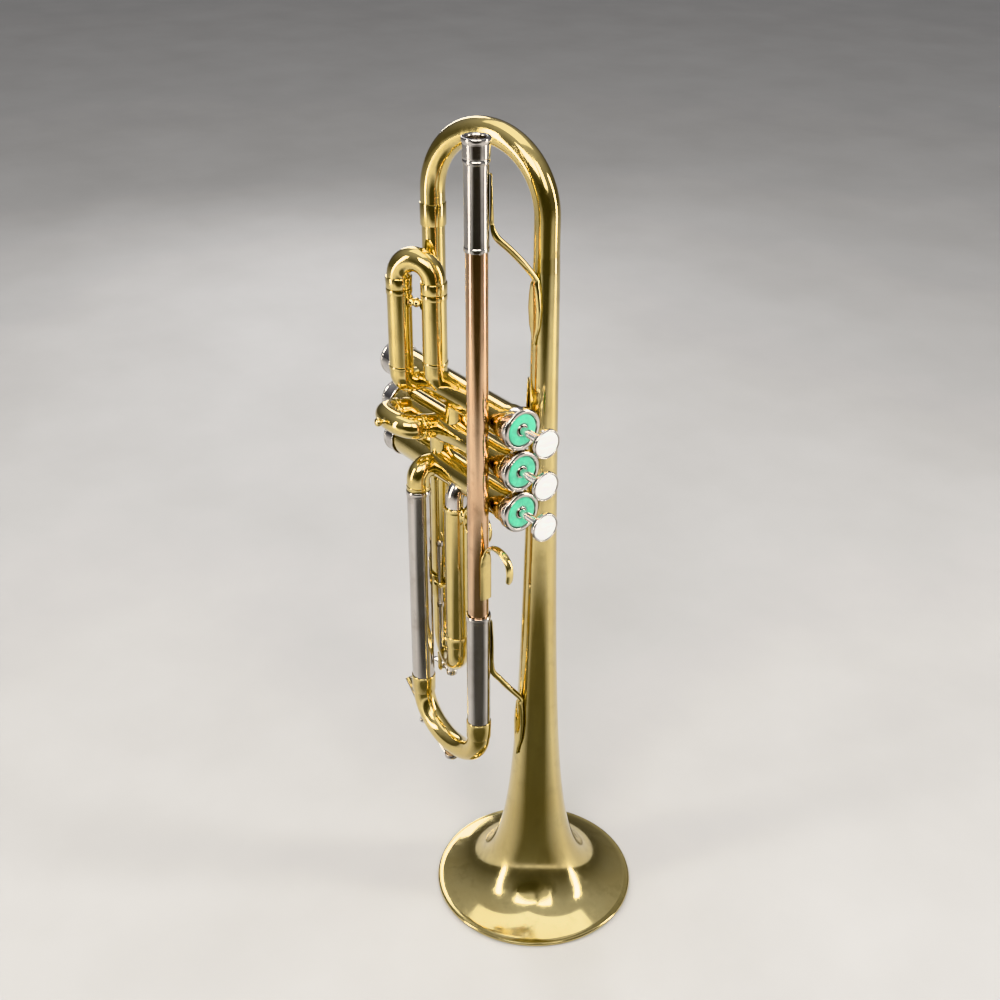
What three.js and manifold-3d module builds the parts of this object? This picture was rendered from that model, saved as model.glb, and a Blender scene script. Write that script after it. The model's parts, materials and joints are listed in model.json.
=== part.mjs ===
// A piston trumpet standing on its bell rim. Millimetres, +Z up.
// +X runs towards the finger buttons, -Y is the side with the leadpipe, and the bell axis is vertical.
// The root group is shifted so that the origin lies under the middle of the whole instrument.
import * as THREE from 'three';
import { mergeVertices } from 'three/addons/utils/BufferGeometryUtils.js';
import Module from 'manifold-3d';

const wasm = await Module();
wasm.setup();

// ---------------------------------------------------------------- driving dimensions
const GAP = 0.3;                 // air left between pieces that are soldered or screwed together
const SLIDE_GAP = 0.2;           // radial play of a slide leg or a piston
const TUBE_SIDES = 12;
const SMALL_SIDES = 10;

const BELL_RIM_R = 61.5;
const BELL_BEAD_R = 1.3;
const BELL_FLARE = { offset: 4, power: 0.52 };   // the radius falls as 1 / (z + offset) ^ power
const BELL_WALL = 0.6;
const BELL_TOP_Z = 409;
const BELL_SIDES = 28;

const BOW_R = 6.7;               // outer radius of the bell bow
const BOW_WALL = 0.6;
const BOW_CENTRE_Z = 436;
const TAIL = [-72, -19];         // x, y of the bow's second leg
const TAIL_SEAM_Z = 430;

const VALVE_Y = -20.6;
const VALVE_Z = [329, 304.5, 280];   // first, second and third valve
const CASING_R = 9.6;
const CASING_WALL = 0.85;
const CASING_LOW_X = -107;
const CASING_HIGH_X = 5;
const CASING_RING_R = 10.4;       // thickened end of the casing next to the top cap
const CASING_RING_X = [-3.2, 1.7];
const TOP_CAP_R = 11.75;
const TOP_CAP_X = [2, 9.1];
const BOTTOM_CAP_R = 10.8;
const BOTTOM_CAP_X = -111.6;
const BUTTON_R = 8.4;
const BUTTON_X = [25.2, 29.4];   // underside and top of the metal button
const STEM_R = 2.25;
const PISTON_X = [-90.5, -38];   // ported part of the piston
const BARREL_X = [-38, 4.5];     // spring barrel above it
const BARREL_LID = 2.5;
const GUIDE_X = [-36, -34];
const GUIDE_WIDTH = 5.6;
const GUIDE_PLAY = 0.5;
const VALVE_TRAVEL = 15.5;
const SPRING_R = 4.9;
const SPRING_WIRE = 0.5;

const OUTER_R = 6.8;             // outer slide tubes
const INNER_R = 6.15;            // slide legs
const SLIDE_WALL = 0.45;
const FERRULE_R = 7.25;
const CROOK_R = 6.6;

const LEADPIPE = [-8.5, -37];
const LEADPIPE_R = [6.05, 5.6];  // bottom and top
const RECEIVER_Z = [424.3, 480.2];
const RECEIVER_R = 6.2;
const RECEIVER_RIM_R = 7.4;
const SOCKET_R = [4.5, 5.0];     // bottom and mouth of the mouthpiece taper

const MAIN_LOWER = [-66, -37];
const MAIN_TOP_Z = [212.5, 267.2];   // tops of the upper and lower outer tubes
const MAIN_FERRULE_Z = [126, 137.5];
const MAIN_BOW_Z = 130;
const MAIN_BOW_FLATTEN = 0.93;
const MAIN_LEG_TOP_Z = 200;

const FIRST_LOWER = [-78.5, -37.6];
const FIRST_UPPER = [-59.5, -28];
const FIRST_TOP_Z = 385;
const FIRST_FERRULE_Z = 391.5;

const SECOND_LEG_X = [-89.5, -63.5];
const SECOND_TILT = 0.17;        // the slide leans towards the player
const SECOND_OUT = 25.5;         // from the valve axis to the middle of the crook
const SECOND_SEAM = 15.4;        // from the valve axis to the end of the outer tubes
const KNUCKLE_X = [-50, -66];    // the short tubes between the casings

const THIRD_LOWER = [-68.5, -19];
const THIRD_UPPER = [-41.7, -28];
const THIRD_OUTER_END_Z = 199.7;
const THIRD_SLEEVE_TOP_Z = 264.2;
const THIRD_BOW_Z = 165.7;

const STOP_ROD = [-60.3, -27.2];
const THIRD_KEY_Z = 139.5;
const THIRD_KEY_ARM = 8;         // from the key's pivot to the middle of its cup

const KEY_ANGLE = 45;            // where the main water key turns, round the bow from its lower leg
const KEY_PIVOT_OUT = 3.6;
const KEY_NIPPLE = 1.2;

const FINGER_RING_R = [11.6, 9.6];
const FINGER_RING_Z = 271.6;       // top of the finger ring
const FINGER_RING_WIDTH = 4;

// ---------------------------------------------------------------- materials
const BRASS = { color: 0xd9b054, roughness: 0.22, metalness: 1 };
const ROSE_BRASS = { color: 0xc98a5a, roughness: 0.25, metalness: 1 };
const NICKEL = { color: 0xb9b6b0, roughness: 0.25, metalness: 1 };
const FELT = { color: 0x2fa869, roughness: 0.95, metalness: 0 };
const PEARL = { color: 0xf4f2ee, roughness: 0.2, metalness: 0 };
const CORK = { color: 0x9a7650, roughness: 0.9, metalness: 0 };
const STEEL = { color: 0x8f9094, roughness: 0.4, metalness: 1 };

const trumpet = new THREE.Group();
trumpet.position.x = -(BOTTOM_CAP_X + BELL_RIM_R) / 2;

function add(name, geometry, look) {
  const mesh = new THREE.Mesh(geometry, new THREE.MeshStandardMaterial(look));
  mesh.name = name;
  trumpet.add(mesh);
}

// ---------------------------------------------------------------- shape helpers
// Turns a closed outline of [radius, height] points about Z.
function turned(outline, sides = TUBE_SIDES) {
  const points = outline.map(([r, z]) => new THREE.Vector2(r, z));
  if (outline[0][0] !== 0) points.push(points[0].clone());
  return new THREE.LatheGeometry(points, sides).rotateX(Math.PI / 2);
}

// A straight tube about Z. Radii may differ at the two ends.
function pipe(z0, z1, outer0, wall, outer1 = outer0, sides = TUBE_SIDES) {
  return turned([[outer0 - wall, z0], [outer0, z0], [outer1, z1], [outer1 - wall, z1]], sides);
}

function rod(z0, z1, radius, sides = SMALL_SIDES) {
  return turned([[0, z0], [radius, z0], [radius, z1], [0, z1]], sides);
}

function circlePoints(radius, sides, turn = 0) {
  const points = [];
  for (let i = 0; i < sides; i++) {
    const angle = turn + (2 * Math.PI * i) / sides;
    points.push(new THREE.Vector2(radius * Math.cos(angle), radius * Math.sin(angle)));
  }
  return points;
}

// A bent tube of constant section; a wall of 0 makes it solid.
function bentPipe(curve, outer, wall, steps, sides = TUBE_SIDES) {
  const section = new THREE.Shape(circlePoints(outer, sides));
  if (wall > 0) section.holes.push(new THREE.Path(circlePoints(outer - wall, sides)));
  return new THREE.ExtrudeGeometry(section, { steps, bevelEnabled: false, extrudePath: curve });
}

// A U-shaped run: down or up from one leg, round a half ellipse and into the other leg.
class UBend extends THREE.Curve {
  constructor(legA, legB, centreZ, direction, flatten = 1) {
    super();
    this.middle = new THREE.Vector3((legA[0] + legB[0]) / 2, (legA[1] + legB[1]) / 2, centreZ);
    this.half = new THREE.Vector3((legA[0] - legB[0]) / 2, (legA[1] - legB[1]) / 2, 0);
    this.rise = direction * flatten * this.half.length();
    this.squareness = 1;
  }

  getPoint(t, target = new THREE.Vector3()) {
    const angle = Math.PI * t;
    const across = Math.cos(angle);
    const width = Math.sign(across) * Math.abs(across) ** this.squareness;
    target.copy(this.middle).addScaledVector(this.half, width);
    target.z += this.rise * Math.abs(Math.sin(angle)) ** this.squareness;
    return target;
  }
}

// A quarter turn from the vertical at "from" to the horizontal direction "to".
class QuarterBend extends THREE.Curve {
  constructor(from, to, radius, verticalSign, sweep = Math.PI / 2) {
    super();
    Object.assign(this, { from, to, radius, verticalSign, sweep });
  }

  getPoint(t, target = new THREE.Vector3()) {
    const angle = this.sweep * t;
    target.copy(this.from).addScaledVector(this.to, this.radius * (1 - Math.cos(angle)));
    target.z += this.verticalSign * this.radius * Math.sin(angle);
    return target;
  }
}

class Helix extends THREE.Curve {
  constructor(radius, z0, z1, turns) {
    super();
    Object.assign(this, { radius, z0, z1, turns });
  }

  getPoint(t, target = new THREE.Vector3()) {
    const angle = 2 * Math.PI * this.turns * t;
    const z = this.z0 + (this.z1 - this.z0) * t;
    return target.set(this.radius * Math.cos(angle), this.radius * Math.sin(angle), z);
  }
}

// ---------------------------------------------------------------- solids that are joined or cut
function toSolid(geometry) {
  const bare = geometry.clone();
  bare.deleteAttribute('normal');
  bare.deleteAttribute('uv');
  const merged = mergeVertices(bare, 1e-4);
  const source = merged.index.array;
  const kept = [];
  for (let i = 0; i < source.length; i += 3) {
    const [a, b, c] = [source[i], source[i + 1], source[i + 2]];
    if (a !== b && b !== c && c !== a) kept.push(a, b, c);
  }
  const vertProperties = new Float32Array(merged.attributes.position.array);
  return new wasm.Manifold(new wasm.Mesh({ numProp: 3, vertProperties, triVerts: new Uint32Array(kept) }));
}

function toGeometry(solid) {
  const { vertProperties, triVerts } = solid.getMesh();
  const geometry = new THREE.BufferGeometry();
  geometry.setAttribute('position', new THREE.BufferAttribute(vertProperties, 3));
  geometry.setIndex(new THREE.BufferAttribute(triVerts, 1));
  return geometry;
}

function joined(...geometries) {
  return toGeometry(geometries.map(toSolid).reduce((whole, piece) => whole.add(piece)));
}

function cut(geometry, ...tools) {
  return toGeometry(tools.map(toSolid).reduce((rest, tool) => rest.subtract(tool), toSolid(geometry)));
}

// A solid bar between two points, used to cut round passages or to make short posts.
function bar(from, to, radius, sides = SMALL_SIDES) {
  const start = new THREE.Vector3(...from);
  const direction = new THREE.Vector3(...to).sub(start);
  const geometry = rod(0, direction.length(), radius, sides);
  const turn = new THREE.Quaternion().setFromUnitVectors(new THREE.Vector3(0, 0, 1), direction.normalize());
  return geometry.applyQuaternion(turn).translate(...from);
}

// The space that a valve casing takes, with a little air round it, in the trumpet's own frame.
function casingSpace(index) {
  const z = VALVE_Z[index];
  return bar([BOTTOM_CAP_X, VALVE_Y, z], [TOP_CAP_X[1], VALVE_Y, z], CASING_R + GAP, TUBE_SIDES * 2);
}

// The direction of the second slide in y and z.
function secondDirection() {
  return [-Math.cos(SECOND_TILT), Math.sin(SECOND_TILT)];
}

function at(geometry, [x, y]) {
  return geometry.translate(x, y, 0);
}

// ---------------------------------------------------------------- bell, bow and tail
function bellRadius(z) {
  const lip = BELL_RIM_R - BELL_BEAD_R;
  const { offset, power } = BELL_FLARE;
  return lip * ((2 * BELL_BEAD_R + offset) / (z + offset)) ** power;
}

function bellPoint(z, depth) {
  const step = 0.01;
  const slope = (bellRadius(z + step) - bellRadius(z)) / step;
  const length = Math.hypot(1, slope);
  return [bellRadius(z) - depth / length, z + (depth * slope) / length];
}

function makeBell() {
  const heights = [4.2, 7, 12, 20, 34, 60, 84, 107, 128.5, 150, 200, 300, BELL_TOP_Z];
  const outside = heights.map((z) => [bellRadius(z), z]);
  const inside = heights.slice(0, -1).map((z) => bellPoint(z, BELL_WALL)).reverse();
  const flat = 0.8;
  const bead = [
    [BELL_RIM_R - BELL_BEAD_R - flat, 0],
    [BELL_RIM_R - BELL_BEAD_R + flat / 2, 0],
    [BELL_RIM_R, BELL_BEAD_R],
    [BELL_RIM_R - BELL_BEAD_R / 2, 2 * BELL_BEAD_R],
  ];
  const top = [bellRadius(BELL_TOP_Z) - BELL_WALL, BELL_TOP_Z];
  add('bell', turned([...bead, ...outside, top, ...inside], BELL_SIDES), BRASS);
}

function makeBow() {
  const straight = [[0, 0], TAIL].map((leg, side) => {
    const end = side === 0 ? BELL_TOP_Z + GAP : TAIL_SEAM_Z + GAP;
    return at(pipe(end, BOW_CENTRE_Z + 1, BOW_R, BOW_WALL), leg);
  });
  const arch = bentPipe(new UBend(TAIL, [0, 0], BOW_CENTRE_Z, 1), BOW_R, BOW_WALL, 12);
  add('bell_bow', joined(arch, ...straight), BRASS);
  const tail = joined(
    at(pipe(VALVE_Z[0], TAIL_SEAM_Z, BOW_R - 0.5, BOW_WALL), TAIL),
    at(pipe(TAIL_SEAM_Z - 12, TAIL_SEAM_Z, BOW_R, 0.8), TAIL),
  );
  add('bell_tail_tube', cut(tail, casingSpace(0)), BRASS);
}

// ---------------------------------------------------------------- leadpipe and receiver
function makeLeadpipe() {
  const bottom = MAIN_TOP_Z[0] - 8;
  const top = RECEIVER_Z[0] + 12;
  add('leadpipe', at(pipe(bottom, top, LEADPIPE_R[0], 0.6, LEADPIPE_R[1]), LEADPIPE), ROSE_BRASS);
  const [z0, z1] = RECEIVER_Z;
  const socketFloor = top + GAP;
  const outline = [
    [LEADPIPE_R[1] + 0.2, z0], [RECEIVER_R, z0], [RECEIVER_R, z1 - 12], [RECEIVER_R + 0.4, z1 - 11],
    [RECEIVER_R + 0.4, z1 - 4], [RECEIVER_RIM_R, z1 - 1.5], [RECEIVER_RIM_R, z1],
    [SOCKET_R[1], z1], [SOCKET_R[0], z1 - 26], [SOCKET_R[0], socketFloor],
    [LEADPIPE_R[1] + 0.2, socketFloor],
  ];
  add('mouthpiece_receiver', at(turned(outline), LEADPIPE), NICKEL);
}

// ---------------------------------------------------------------- valves
// Everything in a valve is turned about Z first and then laid down along +X.
function laidInValve(geometry, index) {
  return geometry.rotateY(Math.PI / 2).translate(0, VALVE_Y, VALVE_Z[index]);
}

const UP = [0, 1];
const DOWN = [0, -1];
const RIGHT = [-1, 0];
const DIAGONAL = Math.SQRT1_2;

// Round passages through a casing wall, each given by where it sits along X and its y, z direction.
function casingPorts(index) {
  const ports = [
    [[TAIL[0], UP], [FIRST_LOWER[0], RIGHT], [FIRST_UPPER[0], [-DIAGONAL, DIAGONAL]], [KNUCKLE_X[0], DOWN]],
    [[KNUCKLE_X[0], UP], ...SECOND_LEG_X.map((x) => [x, secondDirection()]), [KNUCKLE_X[1], DOWN]],
    [[KNUCKLE_X[1], UP], [MAIN_LOWER[0], RIGHT], [THIRD_LOWER[0], DOWN],
      [THIRD_UPPER[0], [-DIAGONAL, -DIAGONAL]]],
  ][index];
  const z = VALVE_Z[index];
  const reach = CASING_R + 4;
  return ports.map(([x, [dy, dz]]) => bar(
    [x, VALVE_Y, z], [x, VALVE_Y + dy * reach, z + dz * reach], INNER_R - SLIDE_WALL - 0.5));
}

function makeCasing(index) {
  const tube = pipe(CASING_LOW_X, CASING_HIGH_X, CASING_R, CASING_WALL);
  const ring = pipe(...CASING_RING_X, CASING_RING_R, CASING_RING_R - CASING_R + CASING_WALL / 2);
  const casing = laidInValve(joined(tube, ring), index);
  add(`valve_casing_${index + 1}`, cut(casing, ...casingPorts(index)), BRASS);
}

function makeCaps(index) {
  const skirt = CASING_R + GAP;
  const seat = CASING_HIGH_X + GAP;
  const [low, high] = TOP_CAP_X;
  const hole = STEM_R + 0.4;
  const collar = hole + 0.8;
  const feltFloor = seat + 1.6;
  const topCap = [
    [skirt, low], [TOP_CAP_R, low], [TOP_CAP_R, high - 0.8], [TOP_CAP_R - 0.8, high],
    [9, high], [9, feltFloor], [collar, feltFloor], [collar, high - 0.3],
    [hole, high - 0.3], [hole, seat], [skirt, seat],
  ];
  add(`top_cap_${index + 1}`, laidInValve(turned(topCap, 16), index), NICKEL);
  const felt = pipe(feltFloor + GAP, high - 0.2, 8.7, 8.7 - collar - GAP);
  add(`cap_felt_${index + 1}`, laidInValve(felt, index), FELT);
  const floor = CASING_LOW_X - GAP;
  const bottomCap = [
    [1.5, BOTTOM_CAP_X], [BOTTOM_CAP_R - 1, BOTTOM_CAP_X], [BOTTOM_CAP_R, BOTTOM_CAP_X + 1],
    [BOTTOM_CAP_R, CASING_LOW_X + 5], [skirt, CASING_LOW_X + 5], [skirt, floor], [1.5, floor],
  ];
  add(`bottom_cap_${index + 1}`, laidInValve(turned(bottomCap, 14), index), NICKEL);
}

// The ported piston, the spring barrel above it and the stem, in one piece as they are screwed up tight.
function makePiston(index) {
  const r = CASING_R - CASING_WALL - SLIDE_GAP;
  const [low, high] = PISTON_X;
  const barrelR = r - 0.4;
  const barrelRoomR = barrelR - 0.9;
  const ceiling = BARREL_X[1] - BARREL_LID;
  const body = turned([
    [0, low + 7], [r - 1, low + 7], [r - 1, low], [r, low], [r, high], [barrelR, high + 0.5],
    [barrelR, BARREL_X[1]], [STEM_R, BARREL_X[1]], [STEM_R, BUTTON_X[0] - GAP], [0, BUTTON_X[0] - GAP],
  ]);
  const room = turned([[0, high], [barrelRoomR, high], [barrelRoomR, ceiling], [0, ceiling]]);
  const windowLength = GUIDE_X[1] - GUIDE_X[0] + VALVE_TRAVEL + 2 * GUIDE_PLAY;
  const window = new THREE.BoxGeometry(GUIDE_WIDTH + 1, 4 * r, windowLength);
  window.translate(0, 0, GUIDE_X[0] - GUIDE_PLAY + windowLength / 2);
  const [near, far] = [low + 18, low + 34];
  const passage = index % 2 ? bar([-20, 0, far], [20, 0, near], 5) : bar([-20, 0, near], [20, 0, far], 5);
  add(`piston_${index + 1}`, laidInValve(cut(body, room, window, passage), index), STEEL);
}

// The guide stays in the casing, reaches through the barrel's windows and carries the spring.
function makeGuideAndSpring(index) {
  const [low, high] = GUIDE_X;
  const reach = CASING_R - CASING_WALL - GAP;
  const guide = new THREE.BoxGeometry(GUIDE_WIDTH, 2 * reach - 1.6, high - low).translate(0, 0, (low + high) / 2);
  add(`valve_guide_${index + 1}`, laidInValve(guide, index), NICKEL);
  const coil = new Helix(SPRING_R, high + SPRING_WIRE + GAP, BARREL_X[1] - BARREL_LID - SPRING_WIRE - GAP, 5);
  add(`valve_spring_${index + 1}`, laidInValve(bentPipe(coil, SPRING_WIRE, 0, 42, 4), index), STEEL);
}

function makeButton(index) {
  const [under, over] = BUTTON_X;
  const dish = over - 1.2;
  const button = [
    [0, under], [BUTTON_R - 1.5, under], [BUTTON_R, under + 1.3], [BUTTON_R, over],
    [BUTTON_R - 1, over], [BUTTON_R - 1, dish], [0, dish],
  ];
  add(`finger_button_${index + 1}`, laidInValve(turned(button, 14), index), NICKEL);
  const r = BUTTON_R - 1 - GAP;
  const pearl = [[0, dish + GAP], [r, dish + GAP], [r, over - 0.2], [r - 2, over + 0.2], [0, over + 0.4]];
  add(`button_pearl_${index + 1}`, laidInValve(turned(pearl, 14), index), PEARL);
}

function makeKnuckles() {
  KNUCKLE_X.forEach((x, i) => {
    const post = bar([x, VALVE_Y, VALVE_Z[i]], [x, VALVE_Y, VALVE_Z[i + 1]], CROOK_R, TUBE_SIDES);
    const bore = bar([x, VALVE_Y, VALVE_Z[i]], [x, VALVE_Y, VALVE_Z[i + 1]], CROOK_R - 0.8);
    add(`knuckle_${i + 1}_${i + 2}`, cut(post, bore, casingSpace(i), casingSpace(i + 1)), BRASS);
  });
}

// ---------------------------------------------------------------- main tuning slide
function makeMainOuters() {
  const legs = [[LEADPIPE, MAIN_TOP_Z[0], 'main_outer_upper'], [MAIN_LOWER, MAIN_TOP_Z[1], 'main_outer_lower']];
  for (const [leg, top, name] of legs) {
    const inner = OUTER_R - SLIDE_WALL;
    const low = MAIN_FERRULE_Z[1] + GAP;
    const outline = [
      [inner, low], [OUTER_R, low], [OUTER_R, top - 3.5], [FERRULE_R, top - 3], [FERRULE_R, top - 0.6],
      [OUTER_R, top], [inner, top],
    ];
    add(name, at(turned(outline), leg), NICKEL);
  }
}

// A tube that rises or falls from a slide and turns into the side of a casing.
function elbowIntoCasing(leg, index, end, sign) {
  const radius = VALVE_Y - CASING_R - leg[1] - 0.4;
  const z = VALVE_Z[index];
  const from = new THREE.Vector3(leg[0], leg[1], z - sign * radius);
  const bend = bentPipe(new QuarterBend(from, new THREE.Vector3(0, 1, 0), radius, sign), CROOK_R, 0.8, 6);
  const [low, high] = sign > 0 ? [end, from.z + 0.02] : [from.z - 0.02, end];
  const straight = at(pipe(low, high, CROOK_R, 0.8), leg);
  const collar = at(pipe(from.z - 1, from.z + 1, CROOK_R + 0.3, 0.5), leg);
  const reach = bar([leg[0], VALVE_Y - CASING_R - 0.45, z], [leg[0], VALVE_Y, z], CROOK_R, TUBE_SIDES);
  const bore = bar([leg[0], VALVE_Y - CASING_R - 1.5, z], [leg[0], VALVE_Y + 1, z], CROOK_R - 0.8);
  const whole = joined(bend, straight, collar, cut(reach, bore));
  return cut(whole, casingSpace(index));
}

function makeMainSlide() {
  add('third_valve_elbow', elbowIntoCasing(MAIN_LOWER, 2, MAIN_TOP_Z[1] + GAP, 1), BRASS);
  const bow = new UBend(LEADPIPE, MAIN_LOWER, MAIN_BOW_Z, -1, MAIN_BOW_FLATTEN);
  const pieces = [bentPipe(bow, CROOK_R, 0.6, 12)];
  for (const leg of [LEADPIPE, MAIN_LOWER]) {
    pieces.push(at(pipe(MAIN_FERRULE_Z[0], MAIN_FERRULE_Z[1], FERRULE_R, FERRULE_R - CROOK_R + 0.25), leg));
    pieces.push(at(pipe(MAIN_BOW_Z - 1, MAIN_LEG_TOP_Z, INNER_R, SLIDE_WALL), leg));
    pieces.push(at(pipe(MAIN_BOW_Z - 0.5, MAIN_FERRULE_Z[1] - 0.5, CROOK_R + 0.1, 0.7), leg));
  }
  add('main_slide_bow', joined(...pieces), BRASS);
}

// ---------------------------------------------------------------- first slide
function ringedOuter(low, high, ringTop) {
  const inner = OUTER_R - SLIDE_WALL;
  const outline = ringTop
    ? [[inner, low], [OUTER_R, low], [OUTER_R, high - 3], [FERRULE_R, high - 2.7], [FERRULE_R, high], [inner, high]]
    : [[inner, low], [FERRULE_R, low], [FERRULE_R, low + 2.7], [OUTER_R, low + 3], [OUTER_R, high], [inner, high]];
  return turned(outline);
}

// A tube that comes down to a casing (sign -1) or up to it (sign 1) and leans 45 degrees into its side.
function leaningTube(leg, index, end, sign, outer, bend) {
  const z = VALVE_Z[index];
  const shift = bend * (1 - DIAGONAL);
  const lean = VALVE_Y - leg[1] - shift;
  const start = new THREE.Vector3(leg[0], leg[1], z - sign * (lean + bend * DIAGONAL));
  const arc = bentPipe(new QuarterBend(start, new THREE.Vector3(0, 1, 0), bend, sign, Math.PI / 4), outer, 0.8, 4);
  const from = [leg[0], leg[1] + shift, z - sign * lean];
  const solid = bar(from, [leg[0], VALVE_Y, z], outer, TUBE_SIDES);
  const back = [leg[0], from[1] - 1, from[2] - sign];
  const bore = bar(back, [leg[0], VALVE_Y + 1, z + sign], outer - 0.8);
  const [low, high] = sign > 0 ? [end, start.z + 0.02] : [start.z - 0.02, end];
  const straight = at(pipe(low, high, outer, 0.8), leg);
  return cut(joined(arc, straight, cut(solid, bore)), casingSpace(index));
}

function makeFirstSlide() {
  const radius = VALVE_Y - CASING_R - FIRST_LOWER[1] - 0.4;
  const elbowZ = VALVE_Z[0] + radius;
  const lower = at(ringedOuter(elbowZ + 4, FIRST_TOP_Z, true), FIRST_LOWER);
  const elbow = elbowIntoCasing(FIRST_LOWER, 0, elbowZ + 5, -1);
  add('first_outer_lower', joined(lower, elbow), BRASS);
  const straightFrom = VALVE_Z[0] + 19;
  const lean = leaningTube(FIRST_UPPER, 0, straightFrom + 1, -1, CROOK_R, 10);
  add('first_outer_upper', joined(lean, at(ringedOuter(straightFrom, FIRST_TOP_Z, true), FIRST_UPPER)), BRASS);

  const [a, b] = [FIRST_LOWER, FIRST_UPPER];
  const z = FIRST_TOP_Z - 7;
  const post = bar([a[0], a[1], z], [b[0], b[1], z], 1.6);
  const clear = [a, b].map((leg) => at(rod(z - 4, z + 4, OUTER_R + GAP, TUBE_SIDES), leg));
  add('first_slide_brace', cut(post, ...clear), BRASS);

  const pieces = [bentPipe(new UBend(a, b, FIRST_FERRULE_Z, 1), CROOK_R, 0.6, 10)];
  for (const leg of [a, b]) {
    const foot = FIRST_TOP_Z + GAP;
    pieces.push(at(pipe(foot, FIRST_FERRULE_Z, FERRULE_R, FERRULE_R - CROOK_R + 0.25), leg));
    pieces.push(at(pipe(VALVE_Z[0] + 21, FIRST_FERRULE_Z + 1, INNER_R, SLIDE_WALL), leg));
  }
  add('first_slide_crook', joined(...pieces), BRASS);
}

// ---------------------------------------------------------------- second slide
function laidInSecond(geometry) {
  return geometry.rotateX(Math.PI / 2 - SECOND_TILT).translate(0, VALVE_Y, VALVE_Z[1]);
}

function makeSecondSlide() {
  const legs = SECOND_LEG_X.map((x) => [x, 0]);
  legs.forEach((leg, i) => {
    const tube = laidInSecond(at(ringedOuter(4, SECOND_SEAM, true), leg));
    add(`second_outer_${['lower', 'upper'][i]}`, cut(tube, casingSpace(1)), BRASS);
  });
  const rise = (SECOND_LEG_X[1] - SECOND_LEG_X[0]) / 2;
  const start = SECOND_SEAM + GAP;
  const bend = new UBend(legs[0], legs[1], start + 0.6, 1, (SECOND_OUT - start - 0.6) / rise);
  bend.squareness = 0.85;
  const pieces = [bentPipe(bend, CROOK_R, 0.6, 10)];
  for (const leg of legs) {
    pieces.push(at(pipe(start, start + 1.4, FERRULE_R, FERRULE_R - CROOK_R + 0.25), leg));
    pieces.push(at(pipe(CASING_R + 0.8, start + 1.2, INNER_R, SLIDE_WALL), leg));
  }
  const middle = [(legs[0][0] + legs[1][0]) / 2, 0];
  const tip = SECOND_OUT + CROOK_R;
  const knob = [
    [0, tip - 0.8], [1.3, tip - 0.8], [1.3, tip + 1.8], [2.4, tip + 2.6], [2.4, tip + 4.4], [1.2, tip + 5.6],
    [0, tip + 5.6],
  ];
  pieces.push(at(turned(knob, 10), middle));
  const crook = laidInSecond(joined(...pieces));
  add('second_slide_crook', cut(crook, casingSpace(1)), BRASS);
}

// ---------------------------------------------------------------- third slide
function makeThirdSlide() {
  const fixed = at(ringedOuter(THIRD_OUTER_END_Z, VALVE_Z[2] - 1, false), THIRD_LOWER);
  add('third_outer_lower', cut(fixed, casingSpace(2)), BRASS);
  const innerLow = THIRD_BOW_Z + 45;
  add('third_inner_upper', leaningTube(THIRD_UPPER, 2, innerLow, 1, INNER_R, 8), NICKEL);

  const bend = new UBend(THIRD_LOWER, THIRD_UPPER, THIRD_BOW_Z, -1);
  const foot = THIRD_OUTER_END_Z - GAP;
  const pieces = [
    bentPipe(bend, CROOK_R, 0.6, 10),
    at(pipe(THIRD_BOW_Z - 0.5, foot, CROOK_R, 0.6), THIRD_LOWER),
    at(pipe(foot - 11, foot, FERRULE_R, FERRULE_R - CROOK_R + 0.25), THIRD_LOWER),
    at(pipe(foot - 12, VALVE_Z[2] - 16, INNER_R, SLIDE_WALL), THIRD_LOWER),
    at(ringedOuter(THIRD_BOW_Z - 0.5, THIRD_SLEEVE_TOP_Z, true), THIRD_UPPER),
    ...thirdKeySaddle(),
  ];
  const hole = bar([...thirdKeyNipple(), THIRD_KEY_Z], [...thirdKeyNipple(), thirdBottom() + 4], 1.2, 8);
  add('third_slide_crook', cut(joined(...pieces), hole), BRASS);

  const [near, far] = [OUTER_R + GAP, FINGER_RING_R[0]];
  const ringX = THIRD_UPPER[0] + near + 1.6 + far;
  const hoop = turned([
    [FINGER_RING_R[1], -FINGER_RING_WIDTH / 2], [far, -FINGER_RING_WIDTH / 2],
    [far, FINGER_RING_WIDTH / 2], [FINGER_RING_R[1], FINGER_RING_WIDTH / 2],
  ], 24).rotateX(Math.PI / 2).translate(ringX, THIRD_UPPER[1], FINGER_RING_Z - far);
  const footPlate = new THREE.BoxGeometry(3.4, 5, 9);
  footPlate.translate(THIRD_UPPER[0] + near + 1, THIRD_UPPER[1], FINGER_RING_Z - far);
  const sleeve = at(rod(THIRD_BOW_Z, THIRD_SLEEVE_TOP_Z + 5, FERRULE_R + GAP, TUBE_SIDES), THIRD_UPPER);
  add('third_slide_finger_ring', cut(joined(hoop, footPlate), sleeve), BRASS);

  const [x, y] = STOP_ROD;
  const stop = joined(
    bar([x, y, 152], [x, y, THIRD_OUTER_END_Z + 32], 1.2, 8),
    bar([x, y, THIRD_OUTER_END_Z + 28.7], [x, y, THIRD_OUTER_END_Z + 31.2], 2.3, 6),
    bar([x, y, 186], [x, y, 189], 2.3, 6),
  );
  const room = bentPipe(bend, CROOK_R + GAP, 0, 10);
  const leg = at(rod(THIRD_BOW_Z - 1, foot, FERRULE_R + GAP, TUBE_SIDES), THIRD_LOWER);
  add('third_slide_stop_rod', cut(stop, room, leg), NICKEL);
}

function thirdBottom() {
  const half = Math.hypot(THIRD_LOWER[0] - THIRD_UPPER[0], THIRD_LOWER[1] - THIRD_UPPER[1]) / 2;
  return THIRD_BOW_Z - half - CROOK_R;
}

function thirdKeyNipple() {
  return [(THIRD_LOWER[0] + THIRD_UPPER[0]) / 2, (THIRD_LOWER[1] + THIRD_UPPER[1]) / 2];
}

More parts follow.
